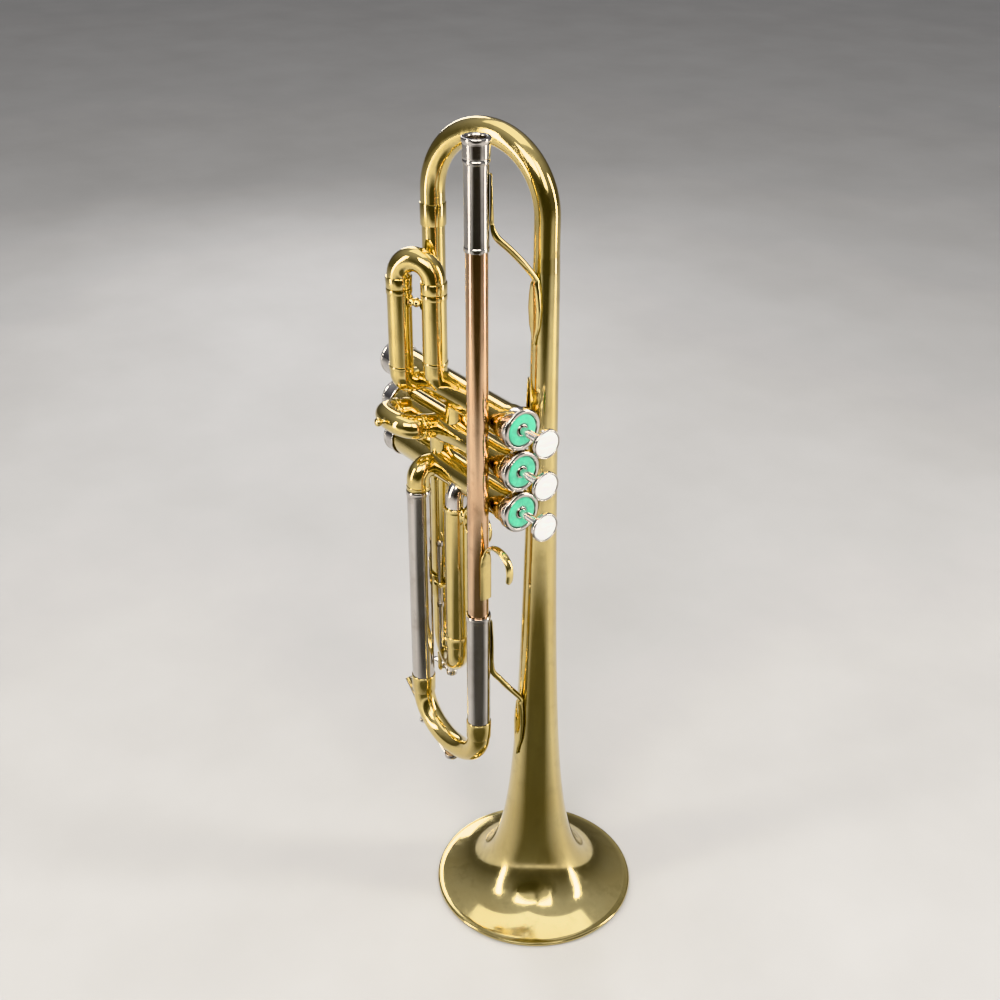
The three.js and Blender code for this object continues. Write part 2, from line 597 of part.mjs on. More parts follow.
// Two cheeks with a pin between them, and the nipple that the key closes.
function thirdKeySaddle() {
  const [x, y] = thirdKeyNipple();
  const pivotX = x - THIRD_KEY_ARM;
  const top = thirdBottom() + 4.5;
  const cheeks = [-1, 1].map((side) => {
    const plate = new THREE.BoxGeometry(4, 1.2, top - THIRD_KEY_Z + 1.6);
    return plate.translate(pivotX, y + side * 3.2, (top + THIRD_KEY_Z - 1.6) / 2);
  });
  const pin = bar([pivotX, y - 3.4, THIRD_KEY_Z], [pivotX, y + 3.4, THIRD_KEY_Z], 0.7, 8);
  const nipple = bar([x, y, thirdBottom() - 1.5], [x, y, thirdBottom() + 1], 2.4);
  return [...cheeks, pin, nipple];
}

function makeThirdKey() {
  const [x, y] = thirdKeyNipple();
  const pivotX = x - THIRD_KEY_ARM;
  const z = THIRD_KEY_Z;
  const path = [[pivotX - 12, z - 1.5], [pivotX - 5, z], [pivotX, z], [x + 3.2, z - 0.6]];
  const eye = bar([pivotX, y - 2, z], [pivotX, y + 2, z], 1.9);
  const cup = bar([x, y, z - 1.2], [x, y, thirdBottom() - 1.8], 3.3);
  const eyeHole = bar([pivotX, y - 3, z], [pivotX, y + 3, z], 1.1, 8);
  add('third_water_key_lever', cut(joined(strip(path, 1.3, 4, y), eye, cup), eyeHole), NICKEL);
}

// A flat strip that follows a run of [x, z] points and has its width along Y.
function strip(path, thickness, width, y) {
  const sides = path.map((_, i) => {
    const [before, after] = [path[Math.max(i - 1, 0)], path[Math.min(i + 1, path.length - 1)]];
    const along = new THREE.Vector2(after[0] - before[0], after[1] - before[1]).normalize();
    return along.multiplyScalar(thickness / 2);
  });
  const left = path.map(([x, z], i) => new THREE.Vector2(x - sides[i].y, z + sides[i].x));
  const right = path.map(([x, z], i) => new THREE.Vector2(x + sides[i].y, z - sides[i].x));
  const shape = new THREE.Shape([...left, ...right.reverse()]);
  const geometry = new THREE.ExtrudeGeometry(shape, { depth: width, bevelEnabled: false });
  return geometry.rotateX(Math.PI / 2).translate(0, y + width / 2, 0);
}

// ---------------------------------------------------------------- lyre holder
function makeLyreHolder() {
  const [x, y] = THIRD_LOWER;
  const [sx, sy] = STOP_ROD;
  const low = THIRD_OUTER_END_Z + 0.6;
  const boxZ = low + 6.5;
  const boxX = x + FERRULE_R + GAP + 3.6;
  const boxY = y - 1;
  const screwZ = boxZ + 2;
  const collar = at(pipe(low, low + 4, FERRULE_R + GAP + 1.1, 1.1), THIRD_LOWER);
  const block = new THREE.BoxGeometry(7, 9, 13).translate(boxX, boxY, boxZ);
  const lug = new THREE.BoxGeometry(6, 5, 2.4).translate(sx, sy, low + 1.6);
  const clear = at(rod(low - 2, low + 20, FERRULE_R + GAP, TUBE_SIDES), THIRD_LOWER);
  const slot = new THREE.BoxGeometry(3.4, 5.8, 40).translate(boxX + 0.3, boxY, boxZ);
  const thread = bar([boxX, boxY, screwZ], [boxX + 10, boxY, screwZ], 1.6, 8);
  const rodHole = bar([sx, sy, low - 2], [sx, sy, low + 6], 1.6, 8);
  add('lyre_holder', cut(joined(collar, block, lug), clear, slot, thread, rodHole), BRASS);
  const screw = joined(
    bar([boxX + 1.4, boxY, screwZ], [boxX + 6, boxY, screwZ], 1.2, 8),
    bar([boxX + 5, boxY, screwZ], [boxX + 7, boxY, screwZ], 3),
  );
  add('lyre_screw', screw, NICKEL);
}

// ---------------------------------------------------------------- main water key
// A point off the outside of the main bow. The angle runs from the lower leg (0) round to the upper leg.
function bowPoint(degrees, out) {
  const angle = (degrees * Math.PI) / 180;
  const half = (LEADPIPE[0] - MAIN_LOWER[0]) / 2;
  const drop = half * MAIN_BOW_FLATTEN;
  const normal = new THREE.Vector2(-Math.cos(angle) * drop, -Math.sin(angle) * half).normalize();
  const reach = CROOK_R + out;
  const middle = (LEADPIPE[0] + MAIN_LOWER[0]) / 2;
  return [
    middle - half * Math.cos(angle) + normal.x * reach,
    MAIN_BOW_Z - drop * Math.sin(angle) + normal.y * reach,
  ];
}

function makeWaterKey() {
  const y = MAIN_LOWER[1];
  const [px, pz] = bowPoint(KEY_ANGLE, KEY_PIVOT_OUT);
  const [ix, iz] = bowPoint(KEY_ANGLE, -2);
  const lean = Math.atan2(pz - iz, px - ix);
  const cheekLength = KEY_PIVOT_OUT + 3.6;
  const block = new THREE.BoxGeometry(cheekLength, 7.6, 4.4).rotateY(-lean);
  const corridor = new THREE.BoxGeometry(cheekLength, 4.8, 6);
  block.translate((px + ix) / 2 + Math.cos(lean), y, (pz + iz) / 2 + Math.sin(lean));
  const [fx, fz] = bowPoint(KEY_ANGLE, 1.1 + cheekLength / 2);
  corridor.rotateY(-lean).translate(fx, y, fz);
  const room = bentPipe(new UBend(LEADPIPE, MAIN_LOWER, MAIN_BOW_Z, -1, MAIN_BOW_FLATTEN), CROOK_R + GAP, 0, 16);
  const pin = bar([px, y - 3.2, pz], [px, y + 3.2, pz], 0.8, 8);
  add('water_key_saddle', joined(cut(block, corridor, room), pin), NICKEL);

  const path = [[8, 7.5], [16, 4.6], [30, 3.6], [KEY_ANGLE, KEY_PIVOT_OUT], [60, 3.6], [75, 4]]
    .map(([angle, out]) => bowPoint(angle, out));
  const [cx, cz] = bowPoint(90, 5.2);
  path.push([cx - 3, cz], [cx + 3.6, cz]);
  const touch = bar([path[0][0] + 0.6, y, path[0][1]], [path[0][0] - 1.2, y, path[0][1] + 0.4], 3.6);
  const eye = bar([px, y - 2, pz], [px, y + 2, pz], 2.1);
  const cup = turned([[0, cz - 0.6], [4.2, cz - 0.6], [4.2, cz + 2], [3.7, cz + 2], [3.7, cz + 0.9], [0, cz + 0.9]]);
  const lever = joined(strip(path, 1.4, 4, y), touch, eye, at(cup, [cx, y]));
  add('water_key_lever', cut(lever, bar([px, y - 4, pz], [px, y + 4, pz], 1.2, 8)), NICKEL);
  const cork = rod(cz + 0.9 + GAP, cz + 5.2 - KEY_NIPPLE - GAP, 3.3);
  add('water_key_cork', at(cork, [cx, y]), CORK);
}

// ---------------------------------------------------------------- braces and finger hook
// A thin leaf that lies on a round surface whose radius is known at every height.
function leaf(axis, surface, z0, z1, angle, width) {
  const steps = 2;
  const outline = [];
  for (let i = 0; i <= steps; i++) outline.push(z0 + ((z1 - z0) * i) / steps);
  const inner = outline.map((z) => [surface(z) + GAP, z]);
  const outer = outline.map((z) => [surface(z) + GAP + 1.2, z]).reverse();
  const skin = turned([...inner, ...outer].reverse(), 16);
  const blade = new THREE.Shape([
    [0, z0], [width * 0.35, z0 + 2], [width * 0.5, z0 + (z1 - z0) * 0.35], [width * 0.5, z1 - 3], [width * 0.3, z1],
    [-width * 0.3, z1], [-width * 0.5, z1 - 3], [-width * 0.5, z0 + (z1 - z0) * 0.35], [-width * 0.35, z0 + 2],
  ].map(([u, v]) => new THREE.Vector2(u, v)));
  const prism = new THREE.ExtrudeGeometry(blade, { depth: 40, bevelEnabled: false });
  prism.rotateX(Math.PI / 2).rotateZ(angle + Math.PI / 2);
  return at(toGeometry(toSolid(skin).intersect(toSolid(prism))), axis);
}

function onSurface(axis, radius, angle, z) {
  return new THREE.Vector3(axis[0] + radius * Math.cos(angle), axis[1] + radius * Math.sin(angle), z);
}

function sBrace(name, foot, blade, middle) {
  const footLeaf = leaf(foot.axis, foot.surface, foot.z0, foot.z1, foot.angle, 6);
  const bladeLeaf = leaf([0, 0], bellRadius, blade.z0, blade.z1, blade.angle, 7);
  const start = onSurface(foot.axis, foot.surface(foot.z0) + 1.2, foot.angle, foot.z1 - foot.rise);
  const end = onSurface([0, 0], bellRadius(blade.z1) + 1.2, blade.angle, blade.z1 - 9);
  const curve = new THREE.CatmullRomCurve3([
    start.clone(), start.clone().setZ(start.z - 8).lerp(end, 0.04), new THREE.Vector3(...middle),
    onSurface([0, 0], bellRadius(blade.z1) + 2.4, blade.angle, blade.z1 - 1), end,
  ]);
  const arm = bentPipe(curve, 1.5, 0, 10, 6);
  const clear = [
    at(turned([[0, 0], ...profile(foot.surface, foot.z0 - 30, foot.z1 + 20)].slice(1)), foot.axis),
    turned(profile(bellRadius, blade.z0 - 5, BELL_TOP_Z - 0.5), 16),
  ];
  return [name, cut(joined(footLeaf, bladeLeaf, arm), ...clear)];
}

// A solid of revolution a little larger than a surface, for keeping clear of it.
function profile(surface, z0, z1) {
  const points = [[0, z0]];
  for (let i = 0; i <= 6; i++) {
    const z = z0 + ((z1 - z0) * i) / 6;
    points.push([surface(z) + GAP - 0.05, z]);
  }
  points.push([0, z1]);
  return points;
}

function makeBraces() {
  const [name, shape] = sBrace('upper_brace',
    { axis: LEADPIPE, surface: () => RECEIVER_R, z0: 437, z1: 462, angle: 1.0, rise: 10 },
    { z0: 371, z1: 407, angle: -1.08 }, [0.8, -19, 422]);
  add(name, shape, BRASS);
  const [lowName, lowShape] = sBrace('lower_brace',
    { axis: LEADPIPE, surface: () => OUTER_R, z0: 174, z1: 206, angle: 1.2, rise: 24 },
    { z0: 107, z1: 150, angle: -1.9 }, [-5, -21, 160]);
  add(lowName, lowShape, BRASS);

  const saddleZ = VALVE_Z[0];
  const angle = -2.5;
  const pad = leaf([0, 0], bellRadius, saddleZ - 9, saddleZ + 20, angle, 7);
  const end = onSurface([0, 0], bellRadius(saddleZ) + 0.6, angle, saddleZ);
  const post = bar([end.x - 1, VALVE_Y, saddleZ], [end.x, end.y, saddleZ], 1.8, 8);
  const bellRoom = turned(profile(bellRadius, saddleZ - 20, saddleZ + 30), 16);
  add('bell_saddle', cut(joined(pad, post), casingSpace(0), bellRoom), BRASS);
}

function makeHook() {
  const x = LEADPIPE[0] + LEADPIPE_R[0] + GAP + 0.8;
  const path = [
    [x, 226], [x, 252], [x + 2.2, 258.4], [x + 6, 261.6], [x + 11, 262.6], [x + 16.5, 261.6],
    [x + 20.4, 258.2], [x + 21.8, 253], [x + 20.8, 246.5],
  ];
  const hook = strip(path, 1.6, 3.8, LEADPIPE[1]);
  const base = new THREE.BoxGeometry(1.7, 7, 26).translate(x + 0.3, LEADPIPE[1], 239.5);
  add('finger_hook', joined(hook, base), BRASS);
}

makeBell();
makeBow();
makeLeadpipe();
VALVE_Z.forEach((_, index) => {
  makeCasing(index);
  makeCaps(index);
  makePiston(index);
  makeGuideAndSpring(index);
  makeButton(index);
});
makeKnuckles();
makeMainOuters();
makeMainSlide();
makeFirstSlide();
makeSecondSlide();
makeThirdSlide();
makeThirdKey();
makeLyreHolder();
makeWaterKey();
makeBraces();
makeHook();

export default trumpet;
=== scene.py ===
import json
import math

import bpy
from mathutils import Matrix, Vector


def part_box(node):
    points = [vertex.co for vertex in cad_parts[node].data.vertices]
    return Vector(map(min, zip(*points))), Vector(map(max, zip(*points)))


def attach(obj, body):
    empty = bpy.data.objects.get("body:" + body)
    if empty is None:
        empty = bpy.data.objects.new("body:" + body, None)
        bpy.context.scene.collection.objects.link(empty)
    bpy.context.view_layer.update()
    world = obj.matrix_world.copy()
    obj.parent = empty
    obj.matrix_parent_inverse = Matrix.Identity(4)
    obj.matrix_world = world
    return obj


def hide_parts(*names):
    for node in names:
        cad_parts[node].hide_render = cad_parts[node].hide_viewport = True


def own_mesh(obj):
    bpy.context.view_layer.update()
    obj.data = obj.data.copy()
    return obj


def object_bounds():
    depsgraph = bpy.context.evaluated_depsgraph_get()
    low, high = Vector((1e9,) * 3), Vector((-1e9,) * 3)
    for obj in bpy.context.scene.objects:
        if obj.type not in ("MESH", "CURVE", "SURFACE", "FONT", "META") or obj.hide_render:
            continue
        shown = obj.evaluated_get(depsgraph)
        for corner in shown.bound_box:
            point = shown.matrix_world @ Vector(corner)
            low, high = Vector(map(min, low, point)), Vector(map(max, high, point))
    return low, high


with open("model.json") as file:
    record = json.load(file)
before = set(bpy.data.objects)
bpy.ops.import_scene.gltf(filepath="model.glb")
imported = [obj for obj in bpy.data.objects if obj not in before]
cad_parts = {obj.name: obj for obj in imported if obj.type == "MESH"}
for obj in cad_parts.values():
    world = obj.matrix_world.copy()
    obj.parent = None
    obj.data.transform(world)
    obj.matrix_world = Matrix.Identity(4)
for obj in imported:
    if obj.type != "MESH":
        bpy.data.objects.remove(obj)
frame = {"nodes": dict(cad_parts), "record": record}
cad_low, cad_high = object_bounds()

MM = 0.001
GAP = 0.3
TAU = 2 * math.pi

# ---------------------------------------------------------------- where things are, from the CAD boxes (mm)


def box(node):
    low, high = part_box(node)
    return Vector(low) / MM, Vector(high) / MM


def mid(node):
    low, high = box(node)
    return (low + high) / 2


BELL_LOW, BELL_HIGH = box("bell")
BELL = Vector(((BELL_LOW.x + BELL_HIGH.x) / 2, (BELL_LOW.y + BELL_HIGH.y) / 2, 0))
RIM_R = (BELL_HIGH.y - BELL_LOW.y) / 2
BEAD_R = 1.3
TAIL = mid("bell_tail_tube")
LEADPIPE = mid("leadpipe")
VALVES = [mid(f"valve_casing_{n}") for n in (1, 2, 3)]
PISTON_TO_CASING = 1.05   # from a piston's radius to the outside of its casing
CASING_R = (box("piston_1")[1].z - box("piston_1")[0].z) / 2 + PISTON_TO_CASING
MAIN_UP = mid("main_outer_upper")
MAIN_LOW = mid("main_outer_lower")
TUBE_R, LEG_R, CROOK_R, FERRULE_R = 6.8, 6.15, 6.6, 7.25
MOUTH_R = TUBE_R + 0.42   # the raised ring at the mouth of an outer tube
LEG_WALL, CROOK_WALL, ELBOW_WALL, CASING_WALL = 0.45, 0.6, 0.8, 0.85
SUNK = 0.25               # how deep the end of a tube lies in the wall of a casing
TUBE_SIDES = 56
BODY = "trumpet_body"

# outside and inside radius of each kind of tube
TUBE = (TUBE_R, TUBE_R - LEG_WALL)
LEG = (LEG_R, LEG_R - LEG_WALL)
CROOK = (CROOK_R, CROOK_R - CROOK_WALL)
ELBOW = (CROOK_R, CROOK_R - ELBOW_WALL)
FERRULE = (FERRULE_R, LEG_R - LEG_WALL)

# from the Z axis to the axis that an outline is turned about
TURNS = {
    "X": Matrix(((0, 0, 1), (0, 1, 0), (-1, 0, 0))),
    "Y": Matrix(((1, 0, 0), (0, 0, 1), (0, -1, 0))),
    "Z": Matrix.Identity(3),
}


def joint_of(child):
    return next(j for j in frame["record"]["behaviour"]["joints"] if j["child"] == child)

# ---------------------------------------------------------------- mesh making


def make(name, vertices, faces, body, slot, node=None, angle=35, material=None):
    """One smooth piece, given in mm, with its slot's finish. Edges sharper than the angle stay sharp."""
    mesh = bpy.data.meshes.new(name)
    mesh.from_pydata([Vector(v) * MM for v in vertices], [], faces)
    mesh.validate()
    mesh.update()
    mesh.polygons.foreach_set("use_smooth", [True] * len(mesh.polygons))
    mesh.set_sharp_from_angle(angle=math.radians(angle))
    piece = bpy.data.objects.new(name, mesh)
    bpy.context.scene.collection.objects.link(piece)
    mesh.materials.append(material or FINISHES[slot])
    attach(piece, body)
    if node:
        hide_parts(node)
    return piece


def rounded(outline, radius):
    """The corners of a closed [r, z] outline replaced by short arcs, except on the axis."""
    out = []
    steps = 3
    for i, corner in enumerate(outline):
        here = Vector(corner)
        a, b = Vector(outline[i - 1]) - here, Vector(outline[(i + 1) % len(outline)]) - here
        plain = here.x < 1e-6 or radius <= 0 or min(a.length, b.length) < 1e-6
        if plain or a.angle(b) > math.radians(165):
            out.append((here.x, here.y))
            continue
        cut = min(radius, 0.42 * a.length, 0.42 * b.length)
        start, end = here + a.normalized() * cut, here + b.normalized() * cut
        for k in range(steps + 1):
            t = k / steps
            point = start * (1 - t) ** 2 + here * 2 * t * (1 - t) + end * t ** 2
            out.append((point.x, point.y))
    return out


def lathe(outline, sides=64, axis="Z", origin=(0, 0, 0), radius=0.2):
    """Vertices and faces of a closed outline turned about an axis. Points on the axis become one vertex."""
    points = rounded(outline, radius)
    origin = Vector(origin)
    vertices, rows = [], []
    for r, z in points:
        if r < 1e-6:
            rows.append([len(vertices)])
            vertices.append((0, 0, z))
            continue
        rows.append(list(range(len(vertices), len(vertices) + sides)))
        for k in range(sides):
            angle = TAU * k / sides
            vertices.append((r * math.cos(angle), r * math.sin(angle), z))
    faces = []
    count = len(rows)
    for i in range(count):
        low, high = rows[i], rows[(i + 1) % count]
        if len(low) == 1 and len(high) == 1:
            continue
        for k in range(sides):
            n = (k + 1) % sides
            if len(low) == 1:
                faces.append((low[0], high[n], high[k]))
            elif len(high) == 1:
                faces.append((low[k], low[n], high[0]))
            else:
                faces.append((low[k], low[n], high[n], high[k]))
    area = sum(a[0] * b[1] - b[0] * a[1] for a, b in zip(points, points[1:] + points[:1]))
    if area < 0:
        faces = [tuple(reversed(f)) for f in faces]
    return [TURNS[axis] @ Vector(v) + origin for v in vertices], faces


def frames(path):
    """A frame that doesn't twist at each station of a path of (point, direction)."""
    side = None
    out = []
    for point, direction in path:
        direction = direction.normalized()
        if side is None:
            guide = Vector((0, 1, 0)) if abs(direction.y) < 0.9 else Vector((1, 0, 0))
            side = (guide - direction * guide.dot(direction)).normalized()
        else:
            side = (side - direction * side.dot(direction)).normalized()
        out.append((point, side, direction.cross(side)))
    return out


def sweep(path, outer, inner=None, sides=40, ends=None):
    """A tube along a path of (point, direction). outer and inner are radii at each station.
    Without inner it is solid. ends may hold a function for the first and the last ring that moves a vertex
    along the tube."""
    rings = frames(path)
    vertices, faces = [], []

    def ring(i, radius):
        point, side, up = rings[i]
        start = len(vertices)
        for k in range(sides):
            angle = TAU * k / sides
            vertex = point + (side * math.cos(angle) + up * math.sin(angle)) * radius
            if ends and i == 0 and ends[0]:
                vertex = ends[0](vertex)
            if ends and i == len(rings) - 1 and ends[1]:
                vertex = ends[1](vertex)
            vertices.append(vertex)
        return list(range(start, start + sides))

    outside = [ring(i, outer[i]) for i in range(len(path))]
    loops = list(outside)
    if inner is not None:
        loops += [ring(i, inner[i]) for i in reversed(range(len(path)))]
    pairs = list(zip(loops, loops[1:]))
    if inner is not None:
        pairs.append((loops[-1], loops[0]))
    for a, b in pairs:
        for k in range(sides):
            n = (k + 1) % sides
            faces.append((a[k], a[n], b[n], b[k]))
    if inner is None:
        faces.append(tuple(reversed(loops[0])))
        faces.append(tuple(loops[-1]))
    return vertices, faces


def turned_along(start, along, stations):
    """A solid round shape on a line, from (distance, radius) stations."""
    return sweep([(start + along * d, along) for d, _ in stations], [r for _, r in stations], None, 32)


class Run:
    """A path put together from straight parts and bends, with a radius at each station."""

    def __init__(self, point, direction):
        self.at = Vector(point)
        self.along = Vector(direction).normalized()
        self.path, self.outer, self.inner = [], [], []

    def station(self, outer, inner):
        self.path.append((self.at.copy(), self.along.copy()))
        self.outer.append(outer)
        self.inner.append(inner)

    def straight(self, length, outer, inner, steps=1):
        for k in range(steps + 1):
            self.station(outer, inner)
            if k < steps:
                self.at = self.at + self.along * (length / steps)
        return self

    def edge(self, length, outer, inner, soft=0.25):
        """A straight part whose outer edges are eased."""
        soft = min(soft, length * 0.3)
        drop = soft * 0.8
        rise = ((0, outer - drop), (soft * 0.35, outer - drop * 0.3), (soft, outer))
        fall = ((length - soft, outer), (length - soft * 0.35, outer - drop * 0.3), (length, outer - drop))
        for offset, out in rise + fall:
            self.path.append((self.at + self.along * offset, self.along.copy()))
            self.outer.append(out)
            self.inner.append(inner)
        self.at = self.at + self.along * length
        return self

    def bend(self, towards, radius, angle, outer, inner, steps=14):
        towards = Vector(towards)
        towards = (towards - self.along * towards.dot(self.along)).normalized()
        centre = self.at + towards * radius
        start = self.along.copy()
        for k in range(1, steps + 1):
            turn = angle * k / steps
            self.at = centre - towards * (radius * math.cos(turn)) + start * (radius * math.sin(turn))
            self.along = start * math.cos(turn) + towards * math.sin(turn)
            self.station(outer, inner)
        return self

    def arch(self, other, rise, outer, inner, steps=40, squareness=1.0):
        """Half an ellipse over to a parallel leg."""
        first = self.at.copy()
        up = self.along.copy()
        across = Vector(other) - first
        across -= up * across.dot(up)
        half = across / 2
        centre = first + half
        points = []
        for k in range(steps + 1):
            angle = math.pi * k / steps
            c, s = math.cos(angle), abs(math.sin(angle))
            over = half * math.copysign(abs(c) ** squareness, c)
            points.append(centre - over + up * (rise * s ** squareness))
        for k in range(1, steps + 1):
            self.at = points[k]
            tangent = points[min(k + 1, steps)] - points[k - 1]
            self.along = tangent.normalized() if k < steps else -up
            self.station(outer, inner)
        return self

    def mesh(self, ends=None):
        return sweep(self.path, self.outer, self.inner, TUBE_SIDES, ends)


def onto_casing(valve):
    """Functions that move a vertex along Z or Y until it lies on the casing of a valve."""
    reach = CASING_R - SUNK

    def vertical(sign):
        def move(v):
            dy = v.y - valve.y
            inside = max(reach * reach - dy * dy, 0.0)
            return Vector((v.x, v.y, valve.z + sign * math.sqrt(inside)))
        return move

    def sideways(v):
        dz = v.z - valve.z
        inside = max(reach * reach - dz * dz, 0.0)
        return Vector((v.x, valve.y - math.sqrt(inside), v.z))

    return vertical, sideways


def along_onto_casing(valve, direction):
    """Moves a vertex along a direction in the YZ plane until it lies on the casing."""
    reach = CASING_R - SUNK
    d = Vector(direction).normalized()

    def move(v):
        py, pz = v.y - valve.y, v.z - valve.z
        b = py * d.y + pz * d.z
        c = py * py + pz * pz - reach * reach
        under = max(b * b - c, 0.0)
        return v + d * (-b - math.sqrt(under))
    return move


def joined(*meshes):
    vertices, faces = [], []
    for vs, fs in meshes:
        start = len(vertices)
        vertices += list(vs)
        faces += [tuple(i + start for i in f) for f in fs]
    return vertices, faces


# ---------------------------------------------------------------- materials


def tree(name):
    material = bpy.data.materials.new(name)
    material.use_nodes = True
    nodes, links = material.node_tree.nodes, material.node_tree.links
    return material, nodes, links, nodes["Principled BSDF"]


def add(nodes, kind, **values):
    node = nodes.new(kind)
    for key, value in values.items():
        if key in node.inputs:
            node.inputs[key].default_value = value
        else:
            setattr(node, key, value)
    return node


def put(node, values):
    for key, value in values.items():
        node.inputs[key].default_value = value


def noise(nodes, links, coordinates, scale, detail=4.0, roughness=0.55, stretch=None):
    texture = add(nodes, "ShaderNodeTexNoise", Scale=scale, Detail=detail, Roughness=roughness)
    if stretch:
        mapping = add(nodes, "ShaderNodeMapping", Scale=stretch)
        links.new(coordinates, mapping.inputs["Vector"])
        coordinates = mapping.outputs["Vector"]
    links.new(coordinates, texture.inputs["Vector"])
    return texture.outputs["Fac"]


def ramp(nodes, links, source, stops):
    node = add(nodes, "ShaderNodeValToRGB")
    elements = node.color_ramp.elements
    while len(elements) < len(stops):
        elements.new(0.5)
    for element, (position, colour) in zip(elements, stops):
        element.position = position
        element.color = (*colour, 1) if len(colour) == 3 else colour
    links.new(source, node.inputs["Fac"])
    return node.outputs["Color"]


def spread(nodes, links, source, low, high, from_low=0.3, from_high=0.7):
    node = add(nodes, "ShaderNodeMapRange")
    put(node, {"From Min": from_low, "From Max": from_high, "To Min": low, "To Max": high})
    links.new(source, node.inputs["Value"])
    return node.outputs["Result"]


def blend(nodes, links, factor, a, b):
    node = add(nodes, "ShaderNodeMix", data_type="RGBA")
    links.new(factor, node.inputs["Factor"])
    for socket, value in ((node.inputs[6], a), (node.inputs[7], b)):
        if isinstance(value, tuple):
            socket.default_value = (*value, 1)
        else:
            links.new(value, socket)
    return node.outputs[2]
def relief(nodes, links, shader, height, strength, distance):
    bump = add(nodes, "ShaderNodeBump", Strength=strength, Distance=distance)
    links.new(height, bump.inputs["Height"])
    links.new(bump.outputs["Normal"], shader.inputs["Normal"])


def metal(name, clean, warm, dull, rough, coat, spots):
    """Polished metal with handling marks: colour drift, fine wipe marks and small dull spots, and painted
    shade that darkens the colour in hollows.
    """
    material, nodes, links, shader = tree(name)
    place = add(nodes, "ShaderNodeTexCoord").outputs["Object"]
    drift = noise(nodes, links, place, 22, 3)
    cloud = noise(nodes, links, place, 90, 5, 0.6)
    speck = noise(nodes, links, place, 900, 2, 0.5)
    wipe = noise(nodes, links, place, 260, 3, 0.5, (1, 1, 0.06))
    colour = ramp(nodes, links, drift, [(0.32, warm), (0.66, clean)])
    worn = spread(nodes, links, cloud, 0, 0.55, 0.52, 0.72)
    colour = blend(nodes, links, worn, colour, dull)
    spot = spread(nodes, links, speck, 0, spots, 0.66, 0.74)
    colour = blend(nodes, links, spot, colour, tuple(c * 0.45 for c in dull))
    # painted shade: where ambient occlusion finds hollows and gaps between parts, the colour is darkened
    # towards a dim brass
    hollow = add(nodes, "ShaderNodeAmbientOcclusion", samples=6, Distance=0.004)
    hollow_shade = spread(nodes, links, hollow.outputs["AO"], 0.7, 0, 0.25, 0.75)
    colour = blend(nodes, links, hollow_shade, colour, tuple(c * 0.3 for c in dull))
    links.new(colour, shader.inputs["Base Color"])
    roughness = add(nodes, "ShaderNodeMath", operation="ADD")
    links.new(spread(nodes, links, cloud, rough, rough + 0.1, 0.35, 0.75), roughness.inputs[0])
    links.new(spread(nodes, links, wipe, 0, 0.06, 0.45, 0.75), roughness.inputs[1])
    links.new(roughness.outputs["Value"], shader.inputs["Roughness"])
    ripple = noise(nodes, links, place, 55, 2, 0.4)
    total = add(nodes, "ShaderNodeMath", operation="ADD")
    links.new(ripple, total.inputs[0])
    links.new(spread(nodes, links, wipe, 0, 0.05, 0.4, 0.8), total.inputs[1])
    relief(nodes, links, shader, total.outputs["Value"], 0.035, 0.0004)
    put(shader, {"Metallic": 1})
    if coat:
        put(shader, {"Coat Weight": coat, "Coat Roughness": 0.05, "Coat IOR": 1.48})
    return material


BRASS = metal("lacquered_brass", (0.80, 0.65, 0.30), (0.74, 0.57, 0.23), (0.50, 0.39, 0.16), 0.06, 0.5, 0.35)
DARK_BRASS = metal("bell_brass", (0.76, 0.63, 0.31), (0.70, 0.55, 0.24), (0.48, 0.38, 0.17), 0.07, 0.5, 0.3)
ROSE = metal("rose_brass", (0.82, 0.58, 0.38), (0.74, 0.47, 0.29), (0.46, 0.28, 0.17), 0.08, 0.5, 0.35)
NICKEL = metal("nickel_silver", (0.70, 0.67, 0.64), (0.60, 0.56, 0.52), (0.34, 0.29, 0.25), 0.08, 0.0, 0.45)
STEEL = metal("valve_steel", (0.82, 0.82, 0.80), (0.76, 0.76, 0.74), (0.60, 0.60, 0.58), 0.14, 0.0, 0.2)


def felt():
    material, nodes, links, shader = tree("green_felt")
    place = add(nodes, "ShaderNodeTexCoord").outputs["Object"]
    cloud = noise(nodes, links, place, 300, 4)
    fibre = noise(nodes, links, place, 2600, 6, 0.7)
    colour = ramp(nodes, links, cloud, [(0.3, (0.07, 0.46, 0.27)), (0.7, (0.11, 0.60, 0.37))])
    pale = spread(nodes, links, fibre, 0, 0.5, 0.55, 0.75)
    colour = blend(nodes, links, pale, colour, (0.36, 0.82, 0.60))
    links.new(colour, shader.inputs["Base Color"])
    put(shader, {"Roughness": 0.95, "Sheen Weight": 0.6, "Sheen Roughness": 0.5})
    relief(nodes, links, shader, fibre, 0.5, 0.0003)
    return material


def pearl():
    material, nodes, links, shader = tree("pearl")
    place = add(nodes, "ShaderNodeTexCoord").outputs["Object"]
    layer = noise(nodes, links, place, 420, 3, 0.5, (1, 0.35, 1))
    fine = noise(nodes, links, place, 1500, 3)
    stops = [(0.3, (0.86, 0.84, 0.86)), (0.5, (0.95, 0.94, 0.91)), (0.72, (0.84, 0.90, 0.89))]
    links.new(ramp(nodes, links, layer, stops), shader.inputs["Base Color"])
    links.new(spread(nodes, links, fine, 0.1, 0.2), shader.inputs["Roughness"])
    put(shader, {"Subsurface Weight": 0.15, "Subsurface Radius": (0.002, 0.002, 0.002)})
    put(shader, {"Subsurface Scale": 0.5, "Coat Weight": 0.8, "Coat Roughness": 0.03})
    relief(nodes, links, shader, layer, 0.05, 0.0002)
    return material


